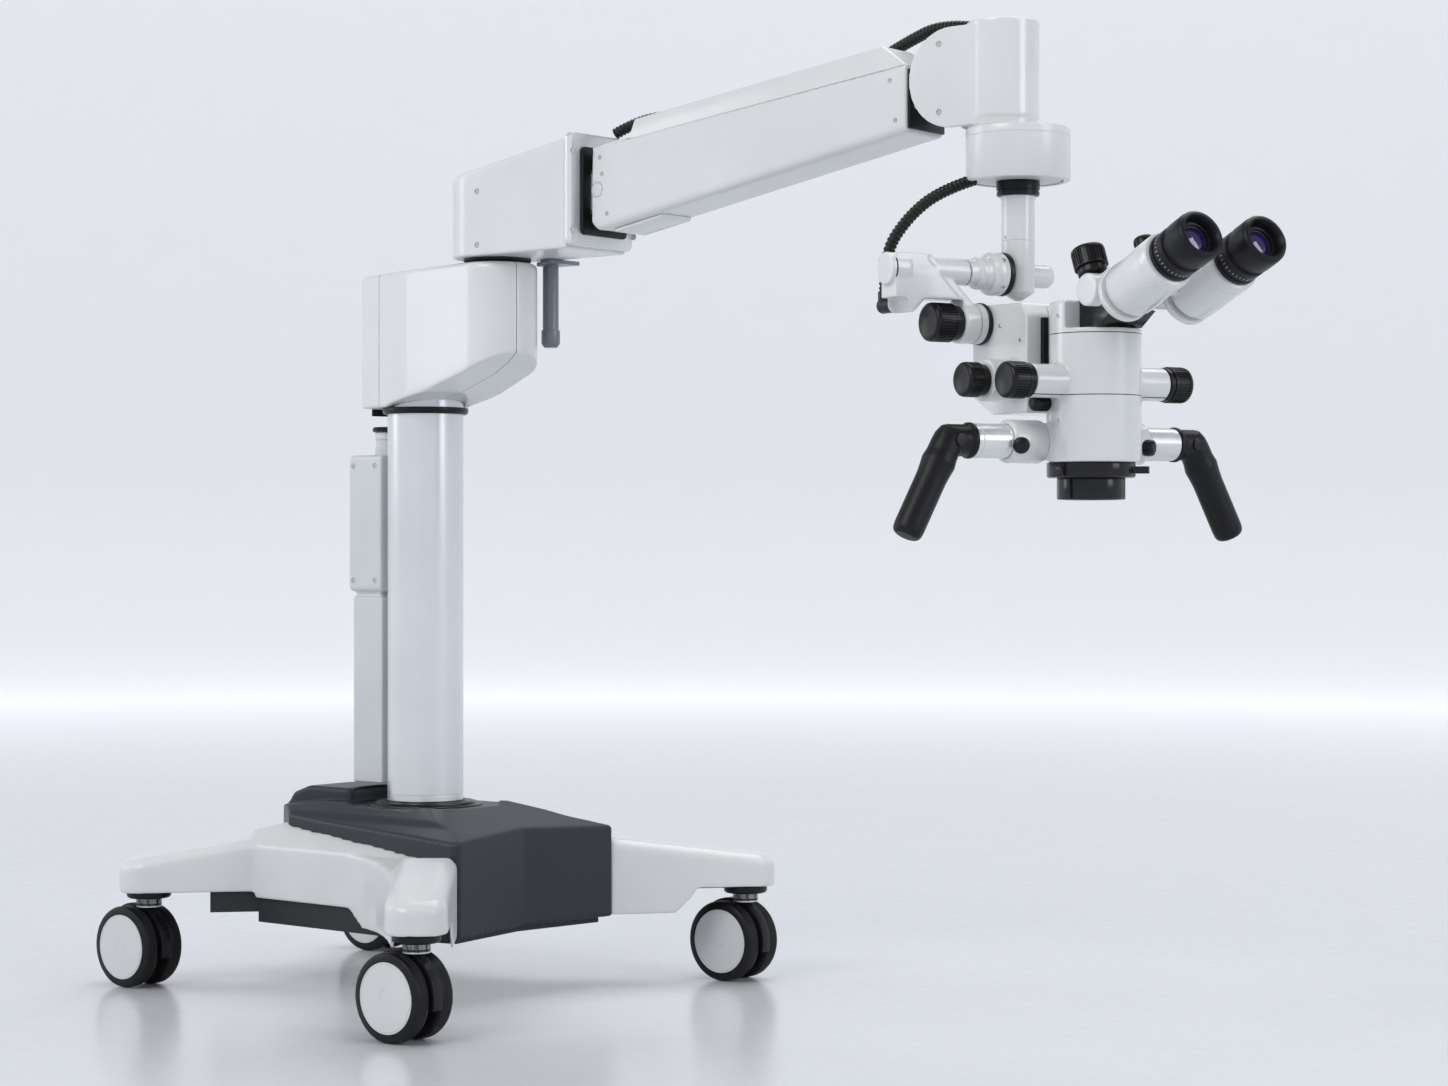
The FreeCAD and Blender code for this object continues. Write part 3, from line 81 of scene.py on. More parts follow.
CASTORS = {
    "front_right": Vector((0.341, -0.366, 0)), "front_left": Vector((0.341, 0.366, 0)),
    "rear_right": Vector((-0.341, -0.260, 0)), "rear_left": Vector((-0.341, 0.260, 0)),
}
# Each hose's bends in mm in its own assembly's frame, as the solids have them, and its width in metres.
ARM_HOSE_WIDTH, HEAD_HOSE_WIDTH = 0.017, 0.016
ARM_HOSE = [(-14, 32, 94.3), (34, 42, 108), (110, 56, 90), (265, 57, 80), (420, 56, 78),
            (500, 46, 92), (560, 38, 96), (604, 38, 80)]
HEAD_HOSE = [(-28, -50, 1153), (-31, -98, 1137), (-35, -146, 1101), (-37, -182, 1050),
             (-37, -179, 1000)]


class MicroscopeSizes(bpy.types.PropertyGroup):
    """Small sizes that the dressing adds to the solids."""

    small_edge: bpy.props.FloatProperty(
        name="Small edge rounding", description="Radius rolled onto machined edges",
        default=0.001, min=0.0, unit="LENGTH")
    screw_radius: bpy.props.FloatProperty(
        name="Screw head radius", description="Radius of the cover screws",
        default=0.0042, min=0.001, unit="LENGTH")
    hose_pitch: bpy.props.FloatProperty(
        name="Hose rib pitch", description="Distance from rib to rib on the hoses",
        default=0.0062, min=0.002, unit="LENGTH")


class MicroscopeColours(bpy.types.PropertyGroup):
    """Colours of the finishes."""

    white: bpy.props.FloatVectorProperty(
        name="White lacquer", description="Covers and castings",
        default=(0.68, 0.69, 0.695), size=3, subtype="COLOR")
    slate: bpy.props.FloatVectorProperty(
        name="Slate cover", description="Middle of the base",
        default=(0.026, 0.030, 0.037), size=3, subtype="COLOR")
    silver: bpy.props.FloatVectorProperty(
        name="Column silver", description="Column and bright tubes",
        default=(0.70, 0.72, 0.74), size=3, subtype="COLOR")
    black: bpy.props.FloatVectorProperty(
        name="Black plastic", description="Knobs, grips and trim",
        default=(0.006, 0.006, 0.007), size=3, subtype="COLOR")
    studio: bpy.props.FloatVectorProperty(
        name="Studio paper", description="Floor and backdrop",
        default=(0.66, 0.68, 0.71), size=3, subtype="COLOR")


def sizes():
    return bpy.context.scene.microscope_sizes


def colours():
    return bpy.context.scene.microscope_colours


# Working with meshes.
def deselect():
    if bpy.context.object and bpy.context.object.mode == "EDIT":
        bpy.ops.object.mode_set(mode="OBJECT")
    bpy.ops.object.select_all(action="DESELECT")


def only(obj):
    deselect()
    obj.select_set(True)
    bpy.context.view_layer.objects.active = obj


def named(obj, name):
    obj.name = name
    obj.data.name = name
    return obj


def settle(obj, place):
    """Put a finished piece's place into its mesh and leave the object at the origin."""
    obj.data.transform(place @ obj.matrix_world)
    obj.matrix_world = Matrix.Identity(4)
    if (place.to_3x3()).determinant() < 0:
        only(obj)
        bpy.ops.object.mode_set(mode="EDIT")
        bpy.ops.mesh.select_all(action="SELECT")
        bpy.ops.mesh.normals_make_consistent(inside=False)
        bpy.ops.object.mode_set(mode="OBJECT")
    return obj


def soften(obj, width, segments=3, angle=32):
    """Roll the sharp edges over and smooth what is round."""
    only(obj)
    if width > 0:
        bevel = obj.modifiers.new("Edges", "BEVEL")
        bevel.width = width
        bevel.segments = segments
        bevel.limit_method = "ANGLE"
        bevel.angle_limit = math.radians(angle)
        bevel.harden_normals = False
        bpy.ops.object.modifier_apply(modifier=bevel.name)
    bpy.ops.object.shade_smooth_by_angle(angle=math.radians(38))
    return obj


def turned(name, profile, around=48):
    """A turned piece about Z, drawn up from a filled circle through each (radius, height)."""
    deselect()
    radius, low = profile[0]
    bpy.ops.mesh.primitive_circle_add(vertices=around, radius=radius, fill_type="NGON",
                                      location=(0, 0, low))
    obj = named(bpy.context.object, name)
    bpy.ops.object.transform_apply(location=True, rotation=False, scale=False)
    bpy.ops.object.mode_set(mode="EDIT")
    bpy.ops.mesh.select_all(action="SELECT")
    for radius_next, height in profile[1:]:
        bpy.ops.mesh.extrude_region_move(
            TRANSFORM_OT_translate={"value": (0, 0, height - low)})
        factor = radius_next / radius
        bpy.ops.transform.resize(value=(factor, factor, 1), center_override=(0, 0, height))
        radius, low = radius_next, height
    bpy.ops.mesh.select_all(action="SELECT")
    bpy.ops.mesh.normals_make_consistent(inside=False)
    bpy.ops.object.mode_set(mode="OBJECT")
    return obj


def block(name, size, centre=(0, 0, 0)):
    deselect()
    bpy.ops.mesh.primitive_cube_add(size=1, location=centre)
    obj = named(bpy.context.object, name)
    obj.scale = size
    bpy.ops.object.transform_apply(location=True, rotation=False, scale=True)
    return obj


def trimmed(obj, cuts):
    """Cut a piece along planes (point in mm, normal), taking off what lies beyond them."""
    only(obj)
    bpy.ops.object.mode_set(mode="EDIT")
    for point, normal in cuts:
        bpy.ops.mesh.select_all(action="SELECT")
        bpy.ops.mesh.bisect(plane_co=Vector(point) / 1000, plane_no=normal, use_fill=True,
                            clear_outer=True)
    bpy.ops.object.mode_set(mode="OBJECT")
    return obj


def joined(name, pieces):
    deselect()
    for piece in pieces:
        piece.select_set(True)
    bpy.context.view_layer.objects.active = pieces[0]
    bpy.ops.object.join()
    return named(bpy.context.object, name)


def copied(obj, name):
    twin = obj.copy()
    twin.data = obj.data.copy()
    bpy.context.collection.objects.link(twin)
    return named(twin, name)


def along_axis(direction):
    """Turn that takes Z onto a direction."""
    return Vector((0, 0, 1)).rotation_difference(Vector(direction)).to_matrix().to_4x4()


def dressed(node, width=None, segments=3, angle=32):
    """A cleaned copy of a solid with its edges rolled over, standing for the solid."""
    source = bpy.data.objects[node]
    obj = source.copy()
    obj.data = source.data.copy()
    bpy.context.collection.objects.link(obj)
    for key in list(obj.keys()):
        del obj[key]
    named(obj, node + "_skin")
    place = source.matrix_world.copy()
    obj.parent = None
    obj.matrix_world = place
    only(obj)
    bpy.ops.object.transform_apply(location=True, rotation=True, scale=True)
    bpy.ops.object.mode_set(mode="EDIT")
    bpy.ops.mesh.select_all(action="SELECT")
    bpy.ops.mesh.remove_doubles(threshold=0.00002)
    bpy.ops.mesh.dissolve_limited(angle_limit=math.radians(1.2))
    bpy.ops.object.mode_set(mode="OBJECT")
    return soften(obj, sizes().small_edge if width is None else width, segments, angle)


def moulded(node, grid=0.0025, rounds=8, beyond=None):
    """A copy of a solid with a moulding's soft edges; what lies beyond a plane comes off first."""
    obj = dressed(node, 0)
    if beyond:
        point, normal = beyond
        only(obj)
        bpy.ops.object.mode_set(mode="EDIT")
        bpy.ops.mesh.select_all(action="SELECT")
        bpy.ops.mesh.bisect(plane_co=point, plane_no=normal, use_fill=True, clear_outer=True)
        bpy.ops.object.mode_set(mode="OBJECT")
    return blended(obj, grid, rounds)


def blended(obj, grid, rounds):
    """Run the surfaces of a piece into one another like those of a casting."""
    only(obj)
    remesh = obj.modifiers.new("Skin", "REMESH")
    remesh.mode = "VOXEL"
    remesh.voxel_size = grid
    remesh.use_smooth_shade = True
    bpy.ops.object.modifier_apply(modifier=remesh.name)
    ease = obj.modifiers.new("Ease", "SMOOTH")
    ease.factor = 0.5
    ease.iterations = rounds
    bpy.ops.object.modifier_apply(modifier=ease.name)
    bpy.ops.object.shade_smooth()
    return obj


def pick(obj, test):
    """Select the faces whose middle and normal pass a test, and stay in edit mode."""
    only(obj)
    bpy.ops.object.mode_set(mode="EDIT")
    bpy.ops.mesh.select_mode(type="FACE")
    bpy.ops.mesh.select_all(action="DESELECT")
    bpy.ops.object.mode_set(mode="OBJECT")
    for face in obj.data.polygons:
        face.select = bool(test(face.center, face.normal))
    bpy.ops.object.mode_set(mode="EDIT")


def fluted(name, radius, length, flutes, depth=0.0013, foot=0.003):
    """Knob standing on Z = 0 with grooves round its grip and a dished outer face."""
    profile = [(radius - 0.003, 0), (radius - 0.0005, 0.0006), (radius, 0.0012), (radius, foot),
               (radius, length - 0.006), (radius - 0.0006, length - 0.0026),
               (radius - 0.0022, length - 0.0008), (radius - 0.005, length)]
    obj = turned(name, profile, around=2 * flutes)

    def groove(centre, normal):
        turn = math.atan2(centre.y, centre.x) / math.pi * flutes
        return (abs(normal.z) < 0.1 and foot < centre.z < length - 0.006
                and round(turn - 0.5) % 2 == 0)
    pick(obj, groove)
    bpy.ops.mesh.inset(thickness=min(0.0003, radius / flutes / 6), use_individual=True)
    bpy.ops.transform.shrink_fatten(value=-depth)
    pick(obj, lambda centre, normal: normal.z > 0.9 and centre.z > length - 0.0001)
    bpy.ops.mesh.inset(thickness=0.0012)
    bpy.ops.transform.translate(value=(0, 0, -0.0005))
    bpy.ops.object.mode_set(mode="OBJECT")
    bpy.ops.object.shade_smooth_by_angle(angle=math.radians(34))
    return obj


def smooth_turned(name, profile, around=64, angle=34):
    obj = turned(name, [(r / 1000, h / 1000) for r, h in profile], around)
    bpy.ops.object.shade_smooth_by_angle(angle=math.radians(angle))
    return obj


def screws(name, body, frame_place, places, radius=None):
    """Cap screws with a round socket, each at its place and facing its own way."""
    radius = radius or sizes().screw_radius
    first = turned(name + "_first", [
        (radius, -0.0004), (radius, 0.0006), (radius - 0.0005, 0.0011), (radius * 0.5, 0.0011),
        (radius * 0.45, 0.0002)], around=20)
    bpy.ops.object.shade_smooth_by_angle(angle=math.radians(34))
    heads = []
    for index, (point, facing) in enumerate(places):
        head = copied(first, f"{name}_{index}")
        place = Matrix.Translation(Vector(point) / 1000) @ along_axis(facing)
        heads.append(settle(head, frame_place @ place))
    bpy.data.objects.remove(first)
    return worn_by(joined(name, heads), FINISH["steel"], body)


def worn_by(obj, material, body, *nodes):
    """Give a piece its finish, its body and the solids that it stands for."""
    obj.data.materials.clear()
    obj.data.materials.append(material)
    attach(obj, body)
    if nodes:
        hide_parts(*nodes)
    return obj


# Finishes.
def start_material(name):
    material = bpy.data.materials.get(name) or bpy.data.materials.new(name)
    material.use_nodes = True
    material.node_tree.nodes.clear()
    tree = material.node_tree
    output = tree.nodes.new("ShaderNodeOutputMaterial")
    shader = tree.nodes.new("ShaderNodeBsdfPrincipled")
    tree.links.new(shader.outputs["BSDF"], output.inputs["Surface"])
    return material, tree, shader


def grain(tree, scale, detail, stretch=(1, 1, 1)):
    """Noise on object coordinates."""
    place = tree.nodes.new("ShaderNodeTexCoord")
    mapping = tree.nodes.new("ShaderNodeMapping")
    mapping.inputs["Scale"].default_value = stretch
    noise = tree.nodes.new("ShaderNodeTexNoise")
    noise.inputs["Scale"].default_value = scale
    noise.inputs["Detail"].default_value = detail
    tree.links.new(place.outputs["Object"], mapping.inputs["Vector"])
    tree.links.new(mapping.outputs["Vector"], noise.inputs["Vector"])
    return noise


def finish(name, colour, roughness, metallic=0.0, coat=0.0, coat_roughness=0.15, spread=0.04,
           texture=220.0, bump=0.05, depth=0.0004, stretch=(1, 1, 1), specular=0.5):
    """Painted, moulded or machined surface with fine grain and slight unevenness."""
    material, tree, shader = start_material(name)
    shader.inputs["Metallic"].default_value = metallic
    shader.inputs["Coat Weight"].default_value = coat
    shader.inputs["Coat Roughness"].default_value = coat_roughness
    shader.inputs["Specular IOR Level"].default_value = specular
    broad = grain(tree, 6.0, 3.0)
    ramp = tree.nodes.new("ShaderNodeValToRGB")
    low = [max(0.0, c * (1 - spread)) for c in colour]
    high = [min(1.0, c * (1 + spread)) for c in colour]
    ramp.color_ramp.elements[0].position = 0.3
    ramp.color_ramp.elements[1].position = 0.7
    ramp.color_ramp.elements[0].color = (*low, 1)
    ramp.color_ramp.elements[1].color = (*high, 1)
    tree.links.new(broad.outputs["Fac"], ramp.inputs["Fac"])
    tree.links.new(ramp.outputs["Color"], shader.inputs["Base Color"])
    fine = grain(tree, texture, 4.0, stretch)
    spot = tree.nodes.new("ShaderNodeMapRange")
    spot.inputs["To Min"].default_value = max(0.02, roughness - 0.05)
    spot.inputs["To Max"].default_value = min(1.0, roughness + 0.05)
    tree.links.new(fine.outputs["Fac"], spot.inputs["Value"])
    tree.links.new(spot.outputs["Result"], shader.inputs["Roughness"])
    lift = tree.nodes.new("ShaderNodeBump")
    lift.inputs["Strength"].default_value = bump
    lift.inputs["Distance"].default_value = depth
    tree.links.new(fine.outputs["Fac"], lift.inputs["Height"])
    tree.links.new(lift.outputs["Normal"], shader.inputs["Normal"])
    return material


def seamed(material, planes):
    """Draw dark joint lines where planes (normal, distance, half width) cut a surface."""
    tree = material.node_tree
    shader = next(node for node in tree.nodes if node.type == "BSDF_PRINCIPLED")
    colour = shader.inputs["Base Color"].links[0].from_socket
    place = tree.nodes.new("ShaderNodeTexCoord")
    for normal, distance, half in planes:
        across = tree.nodes.new("ShaderNodeVectorMath")
        across.operation = "DOT_PRODUCT"
        across.inputs[1].default_value = tuple(normal)
        tree.links.new(place.outputs["Object"], across.inputs[0])
        line = tree.nodes.new("ShaderNodeMath")
        line.operation = "COMPARE"
        line.inputs[1].default_value = distance
        line.inputs[2].default_value = half
        tree.links.new(across.outputs["Value"], line.inputs[0])
        mix = tree.nodes.new("ShaderNodeMix")
        mix.data_type = "RGBA"
        tree.links.new(line.outputs["Value"], mix.inputs[0])
        tree.links.new(colour, mix.inputs[6])
        mix.inputs[7].default_value = (0.03, 0.03, 0.03, 1)
        colour = mix.outputs[2]
    tree.links.new(colour, shader.inputs["Base Color"])
    return material


def coated_glass(name, tint, film):
    """Dark coated lens."""
    material, tree, shader = start_material(name)
    shader.inputs["Base Color"].default_value = (*tint, 1)
    shader.inputs["Roughness"].default_value = 0.04
    shader.inputs["Coat Weight"].default_value = 1.0
    shader.inputs["Coat Roughness"].default_value = 0.02
    shader.inputs["Coat Tint"].default_value = (*film, 1)
    shader.inputs["IOR"].default_value = 1.6
    glow = grain(tree, 30.0, 2.0)
    ramp = tree.nodes.new("ShaderNodeValToRGB")
    ramp.color_ramp.elements[0].color = (*tint, 1)
    ramp.color_ramp.elements[1].color = (*[min(1, c * 1.8) for c in tint], 1)
    tree.links.new(glow.outputs["Fac"], ramp.inputs["Fac"])
    tree.links.new(ramp.outputs["Color"], shader.inputs["Base Color"])
    return material


def make_finishes():
    c = colours()
    white, slate, silver, black = c.white[:], c.slate[:], c.silver[:], c.black[:]
    return {
        "white_cover": finish("White cover", white, 0.30, coat=0.25, texture=420, bump=0.03),
        "white_alloy": finish("White lacquered casting", white, 0.25, coat=0.55, coat_roughness=0.1,
                              texture=380, bump=0.03),
        "slate_cover": finish("Slate cover", slate, 0.40, texture=900, bump=0.12, depth=0.0003,
                              specular=0.3),
        "ballast_iron": finish("Dark painted iron", (0.012, 0.014, 0.017), 0.55, texture=500, bump=0.2),
        "column_metal": finish("Satin column", silver, 0.24, metallic=0.55, texture=90, bump=0.03,
                               stretch=(12, 12, 0.6)),
        "grey_case": finish("Pale grey case", (0.60, 0.62, 0.635), 0.36, texture=600, bump=0.06),
        "drop_grey": finish("Grey enamel", (0.13, 0.15, 0.18), 0.3, coat=0.2, texture=600, bump=0.03),
        "light_alloy": finish("Pale lacquered alloy", (0.70, 0.71, 0.72), 0.25, metallic=0.35,
                              coat=0.2, texture=300, bump=0.02),
        "black_metal": finish("Black powder coat", (0.007, 0.007, 0.009), 0.36, texture=700, bump=0.15,
                              specular=0.25),
        "black_trim": finish("Black trim", black, 0.32, texture=800, bump=0.08, specular=0.25),
        "black_rubber": finish("Black hose rubber", (0.005, 0.005, 0.005), 0.36, texture=700, bump=0.1,
                               specular=0.35),
        "castor_plastic": finish("Castor nylon", (0.006, 0.006, 0.008), 0.34, texture=800, bump=0.1,
                                 specular=0.3),
        "castor_tyre": finish("Castor tyre", (0.007, 0.007, 0.008), 0.46, texture=500, bump=0.1,
                              specular=0.25),
        "castor_disc": finish("Castor disc", (0.66, 0.675, 0.685), 0.34, texture=600, bump=0.04),
        "black_knob": finish("Knob black", (0.006, 0.006, 0.007), 0.30, texture=700, bump=0.08,
                             specular=0.3),
        "black_grip": finish("Grip black", (0.006, 0.006, 0.008), 0.40, texture=1200, bump=0.2,
                             specular=0.25),
        "lens_glass": coated_glass("Objective glass", (0.02, 0.02, 0.035), (0.75, 0.7, 1.0)),
        "ocular_glass": coated_glass("Eyepiece glass", (0.022, 0.010, 0.055), (0.8, 0.65, 1.0)),
        "lower_arm": seamed(
            finish("Lower arm cover", white, 0.30, coat=0.25, texture=420, bump=0.03),
            [(LOWER_FRAME @ Vector((1, 0, 0)), -0.015, 0.0006),
             (LOWER_FRAME @ Vector((0, 1, 0)), -0.003, 0.0006)]),
        "scope_body": seamed(
            finish("Microscope body", white, 0.25, coat=0.55, coat_roughness=0.1, texture=380,
                   bump=0.03),
            [(Vector((0, 0, 1)), 0.943, 0.0006), (Vector((0, 0, 1)), 0.867, 0.0006)]),
        "black_gloss": finish("Black gloss", (0.006, 0.006, 0.007), 0.18, coat=0.2, coat_roughness=0.06,
                              texture=600, bump=0.02, specular=0.25),
        "steel": finish("Bright screw", (0.55, 0.56, 0.57), 0.25, metallic=1.0, texture=500, bump=0.03),
    }


FINISH = {}


class MICROSCOPE_OT_finishes(bpy.types.Operator):
    """Make the finishes and put them on the solids"""

    bl_idname = "microscope.finishes"
    bl_label = "Finishes"

    def execute(self, context):
        FINISH.update(make_finishes())
        for part in frame["record"]["subparts"]:
            solid = frame["nodes"][part["node"]]
            solid.data.materials.clear()
            solid.data.materials.append(FINISH[part["material_slot"]])
        return {"FINISHED"}


def spline_points(name, points, place, resolution=96):
    """The smooth line of a route, read from a spline that has the route's bends as control points."""
    line = bpy.data.curves.new(name + "_line", "CURVE")
    line.dimensions = "3D"
    line.resolution_u = resolution
    spline = line.splines.new("NURBS")
    spline.points.add(len(points) - 1)
    for control, point in zip(spline.points, points):
        control.co = (*(place @ Vector([v / 1000 for v in point])), 1)
    spline.order_u = 3
    spline.use_endpoint_u = True
    holder = bpy.data.objects.new(name + "_line", line)
    bpy.context.collection.objects.link(holder)
    mesh = bpy.data.meshes.new_from_object(holder)
    route = [vertex.co.copy() for vertex in mesh.vertices]
    bpy.data.objects.remove(holder)
    bpy.data.curves.remove(line)
    bpy.data.meshes.remove(mesh)
    return route


def ribbed_tube(name, route, radius, pitch, start_at=0.0):
    """Ribbed tube along the points of a smooth line, its width rising and falling."""
    line = bpy.data.curves.new(name, "CURVE")
    line.dimensions = "3D"
    line.bevel_depth = radius
    line.bevel_resolution = 5
    line.use_fill_caps = True
    spline = line.splines.new("POLY")
    spline.points.add(len(route) - 1)
    travelled = start_at
    for index, point in enumerate(route):
        if index:
            travelled += (point - route[index - 1]).length
        spline.points[index].co = (*point, 1)
        wave = 0.5 + 0.5 * math.cos(2 * math.pi * travelled / pitch)
        spline.points[index].radius = 1.0 - 0.20 * (1 - wave) ** 1.4
    tube = bpy.data.objects.new(name, line)
    bpy.context.collection.objects.link(tube)
    only(tube)
    bpy.ops.object.convert(target="MESH")
    tube = named(bpy.context.object, name)
    bpy.ops.object.shade_smooth()
    return tube, travelled


def hose_piece(name, route, diameter, node, start_at=0.0):
    """One ribbed length along a bent route, with its own width; the hose solid that it replaces is
    hidden.
    """
    tube, travelled = ribbed_tube(name, route, diameter / 2, sizes().hose_pitch, start_at)
    tube.data.materials.append(FINISH["black_rubber"])
    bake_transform(tube)
    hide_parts(node)
    return travelled


class MICROSCOPE_OT_hoses(bpy.types.Operator):
    """Ribbed hoses over the arm and down to the head"""

    bl_idname = "microscope.hoses"
    bl_label = "Hoses"

    def execute(self, context):
        route = spline_points("arm_hose", ARM_HOSE, ARM_FRAME)
        half = len(route) // 2
        travelled = hose_piece(
            "arm_hose_lower", route[:half + 1], ARM_HOSE_WIDTH,
            "arm_hose")
        hose_piece(
            "arm_hose_upper", route[half:], ARM_HOSE_WIDTH,
            "arm_hose", travelled)
        route = spline_points("head_hose", HEAD_HOSE, HEAD_FRAME)
        hose_piece(
            "head_hose_ribbed", route, HEAD_HOSE_WIDTH,
            "head_hose")
        return {"FINISHED"}


class MICROSCOPE_OT_base(bpy.types.Operator):
    """Moulded covers, dark deck, flanges and column foot"""

    bl_idname = "microscope.base"
    bl_label = "Base and column"

    def execute(self, context):
        for side in ("right", "left"):
            node = f"base_cover_{side}"
            crown = ((-0.175, 0, 0.258), (-0.248, 0, 1))
            cover = moulded(node, 0.0028, 22, crown)
            bpy.ops.object.mode_set(mode="EDIT")
            bpy.ops.mesh.select_all(action="SELECT")
            bpy.ops.transform.resize(value=(1, 1, 0.98), center_override=(0, 0, 0.1))
            bpy.ops.object.mode_set(mode="OBJECT")
            worn_by(cover, FINISH["white_cover"], "base", node)
        deck = moulded("base_center_cover", 0.0022, 6)
        bpy.ops.object.mode_set(mode="EDIT")
        bpy.ops.mesh.select_all(action="SELECT")
        bpy.ops.transform.shrink_fatten(value=0.003)
        bpy.ops.object.mode_set(mode="OBJECT")
        worn_by(deck, FINISH["slate_cover"], "base", "base_center_cover")
        worn_by(dressed("castor_plates", 0.0015), FINISH["black_metal"], "base", "castor_plates")
        foot = smooth_turned("column_foot", [
            (90, 279), (90, 283), (89, 284.6), (87, 285.2), (80, 284.6), (78.4, 285), (77, 287.4),
            (75.4, 288.6), (64, 289.4), (62, 291), (60, 291.4), (59, 290.4)], around=96)
        worn_by(foot, FINISH["black_trim"], "base", "column_foot_ring")
        tube = smooth_turned("column_body", [
            (58.5, 120), (58.5, 299), (57.9, 299.6), (57.9, 300.6), (58.5, 301.2), (58.5, 1078),
            (56.5, 1080)], around=96)
        worn_by(tube, FINISH["column_metal"], "base", "column_tube")
        worn_by(moulded("cable_case", 0.0018, 6), FINISH["grey_case"], "base", "cable_case")
        gland = smooth_turned("cable_gland_body", [
            (18, 822), (18, 834), (16.5, 836), (16.5, 846), (18, 848), (18, 857.5), (17, 859)])
        settle(gland, Matrix.Translation((-0.084, 0, 0)))
        worn_by(gland, FINISH["grey_case"], "base", "cable_gland")
        cap = smooth_turned("cable_gland_cap", [
            (20, 859), (22, 860), (22, 864.5), (20.5, 866.6), (17, 867), (15, 866)])
        settle(cap, Matrix.Translation((-0.084, 0, 0)))
        worn_by(cap, FINISH["black_trim"], "base")
        screws("case_screws", "base", Matrix.Identity(4), [
            ((x, side * 39, z), (0, side, 0))
            for x in (-119, -72) for z in (628, 806) for side in (-1, 1)])
        return {"FINISHED"}


class MICROSCOPE_OT_castors(bpy.types.Operator):
    """Castors with rounded tyres, flush discs and hoods"""

    bl_idname = "microscope.castors"
    bl_label = "Castors"

    def execute(self, context):
        tyre = smooth_turned("tyre", [
            (50, 10.2), (57.5, 10.8), (61, 13), (62.4, 17), (62.4, 19.4), (61.9, 19.8), (61.9, 21.2),
            (62.4, 21.6), (62.4, 25.4), (61.9, 25.8), (61.9, 27.2), (62.4, 27.6), (62.4, 30), (61, 33.4),
            (57.5, 35.6), (50.6, 36.2), (49.8, 35)], around=96)
        disc = smooth_turned("wheel_disc", [
            (49.6, 34), (49.6, 35.8), (49, 36.4), (47.6, 36.5), (47.2, 35.7), (46.4, 35.7), (46, 36.4),
            (30, 36.8), (11, 36.9), (10.4, 36.4), (9.4, 36.4), (8.8, 36.9)], around=96)
        for corner, at in CASTORS.items():
            hood = f"castor_hood_{corner}"
            worn_by(dressed(hood, 0.0022), FINISH["castor_plastic"], f"castor_{corner}", hood)
            for side_name, side in (("right", -1), ("left", 1)):
                place = (Matrix.Translation(at + Vector((-0.024, 0, 0.0625)))
                         @ along_axis((0, side, 0)))
                rubber = settle(copied(tyre, f"tyre_{corner}_{side_name}"), place)
                worn_by(rubber, FINISH["castor_tyre"], f"wheels_{corner}", f"castor_wheels_{corner}")
                plate = settle(copied(disc, f"wheel_disc_{corner}_{side_name}"), place)
                worn_by(plate, FINISH["castor_disc"], f"wheels_{corner}")
            stem = smooth_turned(f"castor_stem_{corner}", [
                (19.5, 124.2), (19.5, 127), (18.6, 127.6), (18.6, 129), (19.5, 129.6), (19.5, 137.8)])
            settle(stem, Matrix.Translation(at))
            worn_by(stem, FINISH["light_alloy"], f"castor_{corner}")
        bpy.data.objects.remove(tyre)
        bpy.data.objects.remove(disc)
        return {"FINISHED"}


